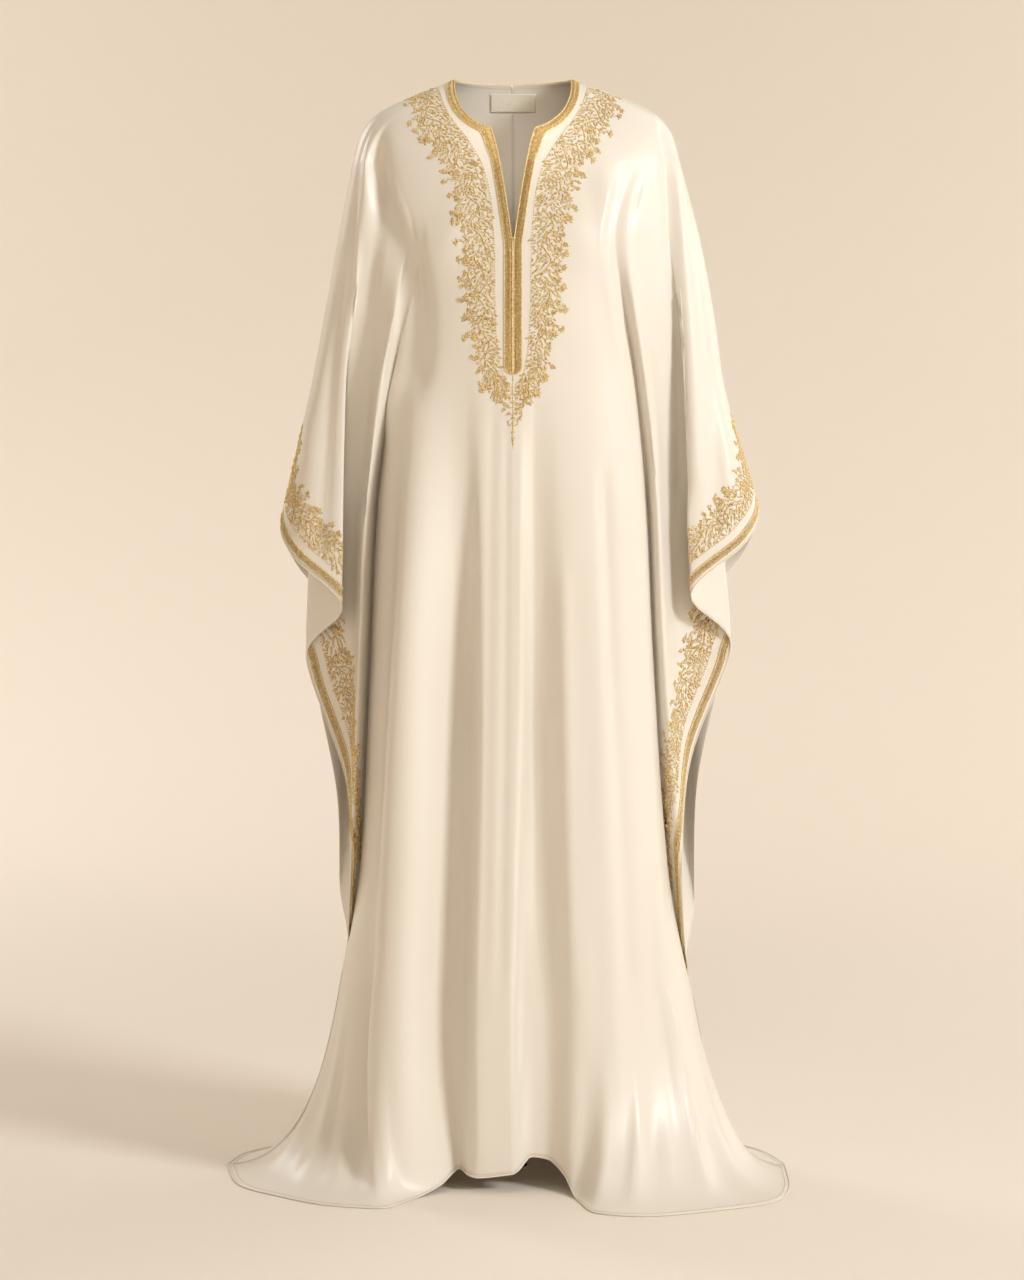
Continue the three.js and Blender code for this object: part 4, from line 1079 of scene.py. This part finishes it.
def vine(work, rng, length, inner, outer, period, ends=(0.0, 0.0)):
    """A winding stem with a curl in each bend, sprigs past the outer edge, a dotted row along the inner
    edge and small leaves between. inner(s) and outer(s) are the band's edges, inner the lesser d."""
    start, stop = ends[0], length - ends[1]
    wave = lambda s: mix(inner(s), outer(s), 0.5 + 0.15 * math.sin(2 * math.pi * s / period))
    steps = np.arange(start, stop, 1.7)
    work.stem([(s, wave(s)) for s in steps], 2.2, 1.4)
    work.marks += [(s, wave(s), 1.4) for s in steps]
    bends = np.arange(math.ceil(start / (period / 2)), stop / (period / 2))
    for k in bends:
        s = k * period / 2 + rng.uniform(-2, 2)
        up = 1 if int(k) % 2 else -1
        room = (outer(s) - inner(s)) * 0.5
        d = wave(s)
        winding = curl(s, d, up * 0.5, up * rng.uniform(3.9, 4.6), room * rng.uniform(1.35, 1.6), 1.15)
        work.stem(winding, 1.6, 1.1, taper=0.35)
        work.marks += [(a, b, 1.0) for a, b in winding]
        work.bead(*winding[-1], 1.9)
        for m in range(3, len(winding) - 1, 3):
            (a, b), (c, e) = winding[m], winding[m - 1]
            work.leaf(a, b, math.atan2(b - e, a - c) - up * 0.9, rng.uniform(5.4, 7.4), 3.2)
    for s in np.arange(start + 6, stop - 2, period / 2):
        s = s + rng.uniform(-3, 3)
        d = outer(s) - 11
        sprig(work, rng, s, d, math.pi / 2 + rng.uniform(-0.5, 0.5), rng.uniform(13, 20))
        second = s + period / 4 + rng.uniform(-2, 2)
        if second < stop:
            angle, reach = math.pi / 2 + rng.uniform(-0.6, 0.6), rng.uniform(7, 10)
            sprig(work, rng, second, outer(second) - 12, angle, reach)
    for s in np.arange(start, stop, 3.7):
        work.bead(s, inner(s) + 0.8, 1.05)
    for _ in range(int((stop - start) * VINE_FILL)):
        s = rng.uniform(start, stop)
        d = mix(inner(s), outer(s), rng.uniform(0.06, 0.88))
        lean = 1 if d > wave(s) else -1
        if rng.random() < 0.78:
            angle = lean * rng.uniform(0.35, 1.25)
            size = rng.uniform(5.2, 8.6)
            middle = (s + 0.5 * size * math.cos(angle), d + 0.5 * size * math.sin(angle))
            if work.clear(*middle, 1.45):
                work.leaf(s, d, angle, size, rng.uniform(3.0, 3.9), 1.05)
        elif work.clear(s, d, 1.5):
            work.bead(s, d, rng.uniform(1.2, 1.8))


def tube(line, radius, sides=6):
    """Points and faces of a round cord along a line of points, with closed ends."""
    line = np.asarray(line, float)
    along = np.gradient(line, axis=0)
    along /= np.maximum(np.linalg.norm(along, axis=1, keepdims=True), 1e-9)
    upright = np.array([0.0, 0.0, 1.0]) if abs(along[:, 2]).mean() < 0.8 else np.array([0.0, 1.0, 0.0])
    first = np.cross(along, upright)
    first /= np.maximum(np.linalg.norm(first, axis=1, keepdims=True), 1e-9)
    second = np.cross(along, first)
    turns = np.linspace(0, 2 * math.pi, sides, endpoint=False)
    ring = np.cos(turns)[:, None, None] * first + np.sin(turns)[:, None, None] * second
    points = (line + radius * ring).transpose(1, 0, 2).reshape(-1, 3)
    faces = [
        (sides * k + e, sides * k + (e + 1) % sides, sides * (k + 1) + (e + 1) % sides, sides * (k + 1) + e)
        for k in range(len(line) - 1)
        for e in range(sides)
    ]
    last = sides * (len(line) - 1)
    faces += [tuple(range(sides))[::-1], tuple(last + e for e in range(sides))]
    return points, faces


def joined(name, parts, material, slot, nodes=()):
    """One piece from several parts, each given as points and faces."""
    points, faces, offset = [], [], 0
    for part_points, part_faces in parts:
        points.append(part_points)
        faces += [tuple(offset + k for k in face) for face in part_faces]
        offset += len(part_points)
    return add_piece(name, np.concatenate(points), faces, material, slot, nodes)


def laid(name, parts, material, slot, nodes=()):
    """One piece from work on one or more bands."""
    mapped = [(ground.map(work.points), work.faces) for work, ground in parts]
    return joined(name, mapped, material, slot, nodes)


# ------------------------------------------------------------------ braid and embroidery at the neck
# The middle of the vine beside the neck and the slit: out and z, and how far it spreads to each side.
NECK_VINE_COLUMNS = ["out", "z", "toward_neck", "away_from_neck"]
NECK_VINE = [
    (117, -17, 21, 21), (110, -40, 21, 22), (97, -65, 21, 25), (80, -89, 21, 26), (65, -112, 21, 25),
    (54, -136, 20, 25), (48, -165, 20, 28), (44, -200, 19, 24), (41, -240, 18, 22), (40, -280, 17, 22),
    (38, -320, 16, 18), (35, -352, 15, 15), (30, -380, 15, 13), (22, -404, 13, 12), (13, -424, 9, 10),
]
BOTTOM = {"centre": -379, "radius": 11}      # the rounded lower end of the slit's braid
RIM_CORD = 0.72                              # radius of the cord round the neck's edge
VINE_SEEDS = {"left": 11, "right": 23, "point": 5}


def neck_band(quarter):
    """The braid's band: along the neckline and down the slit, mitred at their corner."""
    d_values = np.linspace(0, BRAID_WIDTH, 12)
    shares = d_values[:, None] / BRAID_WIDTH
    last_column = quarter.points.shape[1] - 1.001
    count = 60
    rows_a = shares * quarter.braid_row * np.ones(count)
    columns_a = mix(last_column, shares * CELLS["slit"], np.linspace(0, 1, count)[None, :])
    if quarter.face == "back":
        return Band(quarter, rows_a, columns_a, d_values)
    bottom = BOTTOM["centre"] - BOTTOM["radius"] - 4
    bottom_row = np.interp(-bottom, -quarter.points[:quarter.edge_row, 0, 2], np.arange(quarter.edge_row))
    count = 160
    rows_b = mix(shares * quarter.braid_row, bottom_row, np.linspace(0, 1, count + 1)[None, 1:])
    columns_b = shares * CELLS["slit"] * np.ones(count)
    return Band(quarter, np.hstack([rows_a, rows_b]), np.hstack([columns_a, columns_b]), d_values)


def neck_braid(side, face):
    quarter = QUARTERS[side, face]
    band = neck_band(quarter)
    base, cords, beads = Work(), Work(), Work()
    end = band.length
    if face == "front":
        heights = band.points[len(band.d_values) // 2, :, 2]
        turn = float(np.interp(-BOTTOM["centre"], -heights, band.s_values))
    else:
        turn = end

    def reach(d):
        """How far along the band its rounded end lets a thread at d run."""
        return end if face == "back" else turn + math.sqrt(max(0, BOTTOM["radius"] ** 2 - d * d))

    def thread(d, width, height, foot, work):
        straight = np.arange(0, min(turn, end), 1.6)
        path = [(s, d) for s in straight]
        if face == "front":
            bend = np.linspace(0, math.pi / 2, 9)
            path += [(turn + d * math.sin(t), d * math.cos(t)) for t in bend]
        else:
            path.append((end, d))
        work.stem(path, width, height, foot)

    for d in np.arange(1.0, 10.6, 1.2):
        base.stem([(s, d) for s in np.append(np.arange(0, reach(d), 2.4), reach(d))], 1.5, 0.75)
    thread(10.2, 1.9, 1.7, 0.1, cords)
    cords.stem([(s, 7.0) for s in np.append(np.arange(0, reach(7.0), 1.6), reach(7.0))], 1.1, 1.5, 0.1)
    for s in np.arange(1.0, end, 2.3):
        if s < reach(8.9) - 0.5:
            beads.bead(s, 8.5, 0.95, 0.55)
    if face == "front":
        for t in np.linspace(0.2, math.pi / 2 - 0.1, 6):
            beads.bead(turn + 8.5 * math.sin(t), 8.5 * math.cos(t), 0.95, 0.55)
    for s in np.arange(0.5, end - 3, 2.3):
        rib = [(s + 2.6 * share, mix(2.2, 6.1, share)) for share in (0, 0.33, 0.67, 1)]
        if all(a < reach(b) for a, b in rib):
            beads.stem(rib, 1.35, 1.6, 0.2)
    node = f"neck_braid_{side}_{face}"
    run = np.append(np.arange(0, reach(0), 1.6), reach(0))
    rim = band.map([(s, 0, 0.9) for s in run])
    if face == "back":
        rim[:, 0] = np.maximum(np.abs(rim[:, 0]), RIM_CORD) * (-1 if side == "left" else 1)
    return [
        joined(node + "_rim", [tube(rim, RIM_CORD)], PALE_GOLD, "gold_braid"),
        laid(node + "_ground", [(base, band)], DARK_GOLD, "gold_braid", [node]),
        laid(node + "_cords", [(cords, band)], PALE_GOLD, "gold_braid"),
        laid(node + "_ribs", [(beads, band)], GOLD, "gold_braid"),
    ]


def neck_embroidery(side):
    quarter = QUARTERS[side, "front"]
    outs, heights = (column(NECK_VINE, NECK_VINE_COLUMNS, name) for name in ("out", "z"))
    places = np.linspace(0, len(NECK_VINE) - 1, 90)
    marks = range(len(NECK_VINE))
    rows, columns = place_on(quarter, through(marks, outs, places), through(marks, heights, places))
    d_values = np.arange(-30, 46.1, 2.0)
    band = band_beside(quarter, rows, columns, d_values, -1 if side == "left" else 1)
    inner_reach, outer_reach = (column(NECK_VINE, NECK_VINE_COLUMNS, name) for name in NECK_VINE_COLUMNS[2:])
    rng = np.random.default_rng(VINE_SEEDS[side])
    work = Work()

    def edge(reach, sign):
        return lambda s: sign * float(through(marks, reach, np.interp(s, band.s_values, places)))

    vine(work, rng, band.length, edge(inner_reach, -1), edge(outer_reach, 1), period=44.0)
    return laid(f"neck_vine_{side}", [(work, band)], GOLD, "gold_braid")


def neck_point_motif():
    """The motif that closes the two vines under the slit, ending in a pointed spray."""
    work = Work()
    rng = np.random.default_rng(VINE_SEEDS["point"])
    work.stem([(0.5 * math.sin(z / 9), z) for z in np.arange(-391, -480, -1.7)], 1.5, 1.0)
    for sign in (-1, 1):
        turns = np.linspace(0, 2 * math.pi, 15)
        ring = [(sign * (8 + 5 * math.cos(t)), -405 + 5.6 * math.sin(t)) for t in turns]
        work.stem(ring, 1.3, 0.95)
        for t in np.linspace(0, 2 * math.pi, 6)[1:]:
            work.leaf(sign * 8, -405, t, 3.6, 2.2)
        arm = curl(0, -414, -math.pi / 2 + sign * 1.15, sign * 1.5, 19, 1.3)
        work.stem(arm, 1.2, 0.9, taper=0.3)
        cluster(work, rng, *arm[-1], sign * 0.2 + (0 if sign > 0 else math.pi), 0.95)
        lower = curl(0, -431, -math.pi / 2 + sign * 1.0, sign * 1.9, 13, 1.2)
        work.stem(lower, 1.1, 0.85, taper=0.3)
        work.bead(*lower[-1], 1.6)
        hook = curl(0, -455, -math.pi / 2 + sign * 1.2, sign * 2.6, 11, 1.2)
        work.stem(hook, 1.1, 0.85, taper=0.3)
        work.bead(*hook[-1], 1.2)
        work.leaf(0, -423, -math.pi / 2 + sign * 0.8, 5.5, 2.6)
        work.leaf(0, -444, -math.pi / 2 + sign * 0.75, 5.0, 2.5)
        work.leaf(sign * 3, -418, -math.pi / 2 + sign * 0.3, 6.0, 2.6)
        for z, reach in ((-463, 3.4), (-470, 2.8)):
            work.leaf(0, z, -math.pi / 2 + sign * 0.95, reach, 2.0)
    for z in np.arange(-394, -448, -5.5):
        half = mix(25, 5, (z + 392) / -58)
        for sign in (-1, 1):
            for share in (0.45, 0.95):
                spot = (sign * half * share + rng.uniform(-1, 1), z + rng.uniform(-1.5, 1.5))
                if work.clear(*spot, 1.6):
                    cluster(work, rng, *spot, -math.pi / 2 + sign * rng.uniform(0.2, 1.0), 0.8)
    for z in (-441, -452, -474):
        work.bead(0, z, 1.7)
    work.leaf(0, -476, -math.pi / 2, 6.0, 2.4)
    work.bead(0, -484, 0.9)
    return laid("neck_point_motif", [(work, Centre())], GOLD, "gold_braid")


# ------------------------------------------------------------------ braid and embroidery on the sleeves
SLEEVE_VINE = {
    "inner": 24, "outer": 60, "tip_extra": 10, "period": 50.0,
    "clear_of_tail": 125, "narrows_over": 190, "narrow": 33,
}
RISE = {
    "rows": 33, "inset_columns": 0.9, "start": 26,
    "up": [0, 30, 60, 95, 135], "reach": [30, 36, 30, 20, 12],
}
SLEEVE_SEEDS = {("left", "front"): 31, ("left", "back"): 37, ("right", "front"): 41, ("right", "back"): 43}


def sleeve_band(quarter):
    d_values = np.concatenate([[0], np.arange(2, 86.1, 2.0)])
    count = 420
    columns = np.linspace(quarter.points.shape[1] - 1.001, quarter.side_column + 0.05, count)
    rows = np.full(count, quarter.edge_row - 1e-3)
    flip = 1 if (quarter.side == "left") == (quarter.face == "front") else -1
    return band_beside(quarter, rows, columns, d_values, flip)


def sleeve_braid(side, face, band):
    base, cords, beads = Work(), Work(), Work()
    first, last = EDGE_MARGIN, EDGE_MARGIN + EDGE_BRAID
    run = np.append(np.arange(0.2, band.length - 1, 2.2), band.length - 1)
    for d in np.arange(first + 0.8, last - 0.3, 1.25):
        base.stem([(s, d) for s in run], 1.6, 0.7)
    for d in (first + 0.7, last - 0.7):
        cords.stem([(s, d) for s in run], 1.7, 1.7, 0.1)
    middle = (first + last) / 2
    pitch = 5.6
    zigzag = [(k * pitch / 2, middle + (2.2 if k % 2 else -2.2)) for k in range(int(band.length / pitch * 2))]
    beads.stem(zigzag, 1.3, 1.6, 0.2)
    for k in range(1, int(band.length / pitch * 2) - 1):
        beads.bead(k * pitch / 2, middle + (-1.4 if k % 2 else 1.4), 0.95, 0.6)
    node = f"sleeve_braid_{side}_{face}"
    return [
        laid(node + "_ground", [(base, band)], CHAMPAGNE, "gold_braid", [node]),
        laid(node + "_cords", [(cords, band)], PALE_GOLD, "gold_braid"),
        laid(node + "_links", [(beads, band)], GOLD, "gold_braid"),
    ]


def rise_band(quarter):
    """The strip beside the arm's top line, from the sleeve's tip upwards; d runs in from that line."""
    count = 70
    rows = np.linspace(quarter.edge_row - 1e-3, quarter.edge_row - RISE["rows"], count)
    columns = np.full(count, quarter.points.shape[1] - 1 - RISE["inset_columns"])
    d_values = np.arange(-6, 52.1, 2.0)
    flip = 1 if (quarter.side == "right") == (quarter.face == "front") else -1
    return band_beside(quarter, rows, columns, d_values, flip)


def sleeve_embroidery(side, face, band):
    rng = np.random.default_rng(SLEEVE_SEEDS[side, face])
    along, rise = Work(), Work()

    def reach(s):
        tip = SLEEVE_VINE["tip_extra"] * math.exp(-s / 60)
        left = (band.length - s - SLEEVE_VINE["clear_of_tail"]) / SLEEVE_VINE["narrows_over"]
        share = min(1.0, max(0.0, left))
        return SLEEVE_VINE["narrow"] + (SLEEVE_VINE["outer"] - SLEEVE_VINE["narrow"]) * share + tip

    vine(
        along, rng, band.length, lambda s: SLEEVE_VINE["inner"], reach,
        period=SLEEVE_VINE["period"], ends=(3, SLEEVE_VINE["clear_of_tail"]),
    )
    up = rise_band(QUARTERS[side, face])
    outer = lambda s: float(through(RISE["up"], RISE["reach"], s))
    vine(rise, rng, up.length, lambda s: 0, outer, period=40.0, ends=(RISE["start"], 6))
    return laid(f"sleeve_vine_{side}_{face}", [(along, band), (rise, up)], GOLD, "gold_braid")


TRIMS = {"front": [], "left": [], "right": []}
for side in ("left", "right"):
    for face in ("front", "back"):
        home = TRIMS["front" if face == "front" else side]
        home += neck_braid(side, face)
        band = sleeve_band(QUARTERS[side, face])
        home += sleeve_braid(side, face, band)
        home.append(sleeve_embroidery(side, face, band))
    TRIMS["front"].append(neck_embroidery(side))
TRIMS["front"].append(neck_point_motif())


# ------------------------------------------------------------------ edges, stitches, label and bars
HEM = {"roll": 1.1, "sleeve_roll": 0.95, "stitch_rows": 0.95}
# Sewing stitches: pitch, length and width of the dashes.
HEM_STITCH = (4.4, 2.7, 0.55)
NECK_STITCH = (3.2, 2.0, 0.4)
LABEL_STITCH = (2.5, 1.6, 0.42)
SIDE_SEAM = {"radius": 1.0, "inset": 0.5}
SEAM = {"from": -3, "to": -400, "width": 1.3}        # the back seam inside the neck


def stitches(points, normals, pitch, dash, width, lift):
    """Short raised dashes of thread along a line on the cloth."""
    steps = np.linalg.norm(np.diff(points, axis=0), axis=1)
    run = np.concatenate([[0], np.cumsum(steps)])
    made = []
    for start in np.arange(0.6 * pitch, run[-1] - dash, pitch):
        ends = []
        for share, up in ((0, 0.0), (0.25, 1.0), (0.75, 1.0), (1, 0.0)):
            s = start + share * dash
            spot = np.array([np.interp(s, run, points[:, k]) for k in range(3)])
            normal = np.array([np.interp(s, run, normals[:, k]) for k in range(3)])
            ends.append(spot + normal * (lift + up * 0.35 * width))
        made.append(tube(ends, 0.5 * width, 4))
    return made


def hems():
    pieces = {"front": [], "left": [], "right": []}
    for home, quarters in (
        ("front", [("left", "front"), ("right", "front")]),
        ("left", [("left", "back")]),
        ("right", [("right", "back")]),
    ):
        rolls, dashes, edges = [], [], []
        for key in quarters:
            quarter = QUARTERS[key]
            along = np.arange(0, quarter.side_column + 0.01, 0.5)
            line, _ = quarter.sample(np.full(len(along), quarter.hem_row - 0.02), along)
            line[:, 2] = np.maximum(line[:, 2], FLOOR + HEM["roll"] + FLOOR_CLEAR)
            line[:, 1] = own_side(line[:, 1], key[1], HEM["roll"] + SEAM_GAP / 2)
            rolls.append(tube(line, HEM["roll"]))
            line, normals = quarter.sample(np.full(len(along), quarter.hem_row - HEM["stitch_rows"]), along)
            dashes += stitches(line, normals, *HEM_STITCH, 0.1)
            across = np.linspace(quarter.side_column + 0.1, quarter.points.shape[1] - 1.05, 260)
            line, _ = quarter.sample(np.full(len(across), quarter.edge_row - 0.02), across)
            edges.append(tube(line, HEM["sleeve_roll"]))
        pieces[home] += [
            joined(f"hem_roll_{home}", rolls, SATIN, "satin"),
            joined(f"hem_stitches_{home}", dashes, THREAD, "satin"),
            joined(f"sleeve_roll_{home}", edges, SATIN, "satin"),
        ]
    return pieces


def back_neck(side):
    """Inside the back of the neck: two rows of stitches that hold the turned edge, and half the back seam."""
    quarter = QUARTERS[side, "back"]
    columns = np.linspace(0.4, quarter.points.shape[1] - 2.0, 130)
    made = []
    for row in (0.35, 1.9):
        line, normals = quarter.sample(np.full(len(columns), row * quarter.braid_row / 4), columns)
        made += stitches(line - normals * (CLOTH + 0.15), -normals, *NECK_STITCH, 0.0)
    heights = np.arange(SEAM["from"], SEAM["to"], -4.0)
    rows = np.interp(-heights, -quarter.points[:quarter.edge_row, 0, 2], np.arange(quarter.edge_row))
    line, normals = quarter.sample(rows, np.full(len(rows), 0.22))
    seam = tube(line - normals * (CLOTH + 0.2), 0.5 * SEAM["width"])
    return [
        joined(f"back_neck_stitches_{side}", made, THREAD, "satin"),
        joined(f"back_seam_{side}", [seam], SATIN, "satin"),
    ]


def inside_back(x, z, clear):
    away = yoke_away("right", "back", abs(x), z)
    return np.array([x, float(away) - WALL - clear, z])


def neck_label():
    """A blank woven label, sewn on all round inside the back of the neck."""
    across, down = LABEL["cells"]
    points = []
    for depth in (0.0, LABEL["thick"]):
        for r in range(down + 1):
            for c in range(across + 1):
                u, v = c / across, r / down
                sag = LABEL["sag"] * math.sin(math.pi * v) * (1 + 0.6 * math.sin(2 * math.pi * u))
                x, z = LABEL["width"] * (u - 0.5), LABEL["top"] - LABEL["height"] * v
                points.append(inside_back(x, z, LABEL["clear"] + depth + sag))
    sheet = (across + 1) * (down + 1)
    corner = lambda r, c, layer: layer * sheet + r * (across + 1) + c
    faces = []
    for r in range(down):
        for c in range(across):
            ring = [(r, c), (r, c + 1), (r + 1, c + 1), (r + 1, c)]
            faces.append(tuple(corner(*at, 0) for at in ring))
            faces.append(tuple(corner(*at, 1) for at in ring[::-1]))
    rim = [(0, c) for c in range(across)] + [(r, across) for r in range(down)]
    rim += [(down, c) for c in range(across, 0, -1)] + [(r, 0) for r in range(down, 0, -1)]
    for a, b in zip(rim, rim[1:] + rim[:1]):
        faces.append((corner(*b, 0), corner(*a, 0), corner(*a, 1), corner(*b, 1)))
    label = add_piece("label_tape", points, faces, TAPE, "label_tape", ["neck_label"])
    inset = LABEL["stitch_inset"]
    left, right = -LABEL["width"] / 2 + inset, LABEL["width"] / 2 - inset
    top, bottom = LABEL["top"] - inset, LABEL["top"] - LABEL["height"] + inset
    made = []
    for a, b in (((left, top), (right, top)), ((right, top), (right, bottom)),
                 ((right, bottom), (left, bottom)), ((left, bottom), (left, top))):
        count = max(4, int(math.dist(a, b) / 2))
        spots = [(mix(a[0], b[0], t), mix(a[1], b[1], t)) for t in np.linspace(0, 1, count)]
        lift = LABEL["clear"] + LABEL["thick"]
        line = np.array([inside_back(x, z, lift + 0.1) for x, z in spots])
        made += stitches(line, np.tile([0.0, -1.0, 0.0], (count, 1)), *LABEL_STITCH, 0.25)
    return [label, joined("label_stitches", made, THREAD, "label_tape")]


def slit_bars():
    """Worked thread bars across the slit, each of three wrapped strands."""
    pieces = []
    deep, high = BARS["twist"]
    for k, z in enumerate(BARS["heights"]):
        surface = centre_depth("front", z)
        parts = []
        for strand in range(3):
            phase = strand * 2 * math.pi / 3
            line = []
            for t in np.linspace(-1, 1, 15):
                angle = BARS["turn"] * t + phase
                away = surface + BARS["height"] * (1 - BARS["bow"] * t**4) + deep * math.sin(angle)
                line.append((t * BARS["width"] / 2, -away, z + high * math.cos(angle)))
            parts.append(tube(line, BARS["strand"]))
        node = f"slit_bar_{k + 1}"
        pieces.append(joined(node + "_thread", parts, PALE_GOLD, "bar_thread", [node]))
    return pieces


def seams(side):
    """The closed seams: below the sleeve, along the arm's top, and down the middle of the back."""
    quarter = QUARTERS[side, "front"]
    rows = np.arange(quarter.edge_row - 3.0, quarter.hem_row - 0.01, 1.0)
    line, _ = quarter.sample(rows, np.full(len(rows), float(quarter.side_column)))
    line[:, 1] = 0
    line[:, 0] += SIDE_SEAM["inset"] * (1 if side == "left" else -1)
    line[:, 2] = np.maximum(line[:, 2], FLOOR + SIDE_SEAM["radius"] + FLOOR_CLEAR)
    along = np.arange(0, quarter.edge_row - 0.01, 1.0)
    arm, _ = quarter.sample(along, np.full(len(along), quarter.points.shape[1] - 1.001))
    arm[:, 1] = 0
    parts = [tube(line, SIDE_SEAM["radius"], 8), tube(arm, 0.5 * SIDE_SEAM["radius"], 6)]
    if side == "right":
        down = np.arange(quarter.braid_row + 0.1, quarter.hem_row - 0.01, 1.0)
        back, _ = QUARTERS[side, "back"].sample(down, np.zeros(len(down)))
        back[:, 0] = 0
        parts.append(tube(back, 0.6 * SIDE_SEAM["radius"], 6))
    return [joined(f"seams_{side}", parts, SATIN, "satin")]


for home, made in hems().items():
    TRIMS[home] += made
for side in ("left", "right"):
    TRIMS[side] += back_neck(side)
    TRIMS["front"] += seams(side)
TRIMS["front"] += slit_bars()
TRIMS["left"] += neck_label()


# ------------------------------------------------------------------ camera, light and floor
CAMERA = {
    "distance": 4.5, "height": -0.45, "tilt": 3.70,
    "focal_px": 3379, "long_side_px": 1280, "centre_px": 513, "half_width_px": 512,
}
STUDIO = {"radius": 9.0, "curve": 5.5, "height": 7.0, "flat": (0.02, 2.0), "sides": 96}
BACKDROP_TONE = (0.87, 0.79, 0.70)
MIDDLE = (0, 0, -0.75)
OVER_THE_GROUND = (0.2, 0, -1.4)
# Soft square lights: name, place, side, power and colour. All but the top one look at the middle.
SOFT_LIGHTS = [
    ("key", (3.9, -3.1, 1.6), 1.2, 176, (0.95, 0.985, 0.99)),
    ("front", (0.5, -4.9, 1.7), 2.8, 15, (1.0, 0.95, 0.87)),
    ("fill", (-4.2, -2.4, 0.4), 2.5, 9, (1.0, 0.86, 0.68)),
    ("top", (0.6, 0.3, 3.6), 3.5, 38, (1.0, 0.98, 0.94)),
    ("back_key", (-3.4, 3.6, 1.8), 1.6, 52, (0.95, 0.98, 1.0)),
    ("back_fill", (3.6, 3.0, 1.2), 2.4, 22, (1.0, 0.95, 0.88)),
]
# Four lights in a ring that light the wall all round: place and target as (distance, height).
BACKDROP_LIGHTS = {
    "powers": (142, 142, 32, 32), "place": (3.8, 3.4), "target": (9.0, 0.4),
    "size": (3.0, 1.5), "colour": (1.0, 0.975, 0.945),
}
# A soft spot through the neck onto the inside of the back.
NECK_FILL = {
    "place": (0.1, -1.9, 0.62), "target": (0, 0.06, -0.1), "radius": 0.05,
    "power": 75, "cone": 5.5, "colour": (1.0, 0.93, 0.8),
}
SKY = {"colour": (1.0, 0.85, 0.65), "strength": 0.27}


def camera():
    data = bpy.data.cameras.new("camera")
    data.sensor_width = 36.0
    data.lens = CAMERA["focal_px"] / CAMERA["long_side_px"] * data.sensor_width
    data.shift_x = (CAMERA["centre_px"] - CAMERA["half_width_px"]) / -CAMERA["long_side_px"]
    data.clip_end = 100
    eye = bpy.data.objects.new("camera", data)
    eye.location = (0, -CAMERA["distance"], CAMERA["height"])
    eye.rotation_euler = (math.radians(90 - CAMERA["tilt"]), 0, 0)
    bpy.context.scene.collection.objects.link(eye)
    bpy.context.scene.camera = eye


def studio_floor():
    """A pale round floor that curves up into a wall all round, so that every view has the same ground."""
    radius, curve = STUDIO["radius"], STUDIO["curve"]
    turns = np.linspace(0, math.pi / 2, 25)
    profile = [(r, 0.0) for r in STUDIO["flat"]]
    profile += [(radius - curve + curve * math.sin(t), curve - curve * math.cos(t)) for t in turns]
    profile.append((radius, STUDIO["height"]))
    around = STUDIO["sides"]
    angles = np.linspace(0, 2 * math.pi, around, endpoint=False)
    points = [(r * math.cos(a), r * math.sin(a), h + FLOOR * MM) for r, h in profile for a in angles]
    faces = []
    for j in range(len(profile) - 1):
        for i in range(around):
            low, high, n = j * around, (j + 1) * around, (i + 1) % around
            faces.append((low + i, low + n, high + n, high + i))
    faces.append(tuple(range(around)))
    mesh = bpy.data.meshes.new("studio_floor")
    mesh.from_pydata(points, [], faces)
    mesh.polygons.foreach_set("use_smooth", [True] * len(mesh.polygons))
    material, _, _, shader = new_material("studio_paint")
    shader.inputs["Base Color"].default_value = (*BACKDROP_TONE, 1)
    shader.inputs["Roughness"].default_value = 0.85
    mesh.materials.append(material)
    floor = bpy.data.objects.new("studio_floor", mesh)
    bpy.context.scene.collection.objects.link(floor)
    floor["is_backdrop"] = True


def add_light(name, kind, place, target, power, colour):
    """A light of a kind at a place, aimed at a target. Returns its data."""
    data = bpy.data.lights.new(name, kind)
    data.energy = power
    data.color = colour
    light = bpy.data.objects.new(name, data)
    light.location = place
    aim = np.array(target) - np.array(place)
    light.rotation_euler = mathutils.Vector(aim).to_track_quat("-Z", "Y").to_euler()
    bpy.context.scene.collection.objects.link(light)
    return data


def area_light(name, place, target, size, power, colour):
    data = add_light(name, "AREA", place, target, power, colour)
    data.shape = "RECTANGLE"
    data.size, data.size_y = size


def lights():
    for name, place, size, power, colour in SOFT_LIGHTS:
        target = OVER_THE_GROUND if name == "top" else MIDDLE
        area_light(name, place, target, (size, size), power, colour)
    for k, power in enumerate(BACKDROP_LIGHTS["powers"]):
        turn = math.radians(45 + 90 * k)
        places = (BACKDROP_LIGHTS["place"], BACKDROP_LIGHTS["target"])
        spot, wall = ((r * math.cos(turn), r * math.sin(turn), h) for r, h in places)
        name = f"backdrop_{k + 1}"
        area_light(name, spot, wall, BACKDROP_LIGHTS["size"], power, BACKDROP_LIGHTS["colour"])
    place, target = NECK_FILL["place"], NECK_FILL["target"]
    neck = add_light("neck_fill", "SPOT", place, target, NECK_FILL["power"], NECK_FILL["colour"])
    neck.shadow_soft_size = NECK_FILL["radius"]
    neck.spot_size = math.radians(NECK_FILL["cone"])
    neck.spot_blend = 1.0
    world = bpy.data.worlds.new("studio")
    world.use_nodes = True
    background = world.node_tree.nodes["Background"]
    background.inputs["Color"].default_value = (*SKY["colour"], 1)
    background.inputs["Strength"].default_value = SKY["strength"]
    bpy.context.scene.world = world
    bpy.context.scene.view_settings.view_transform = "Standard"


camera()
studio_floor()
lights()


def write_sizes():
    boxes = {"cad": cad_box, "visual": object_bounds()}
    {name: [list(map(float, corner)) for corner in box] for name, box in boxes.items()}


write_sizes()
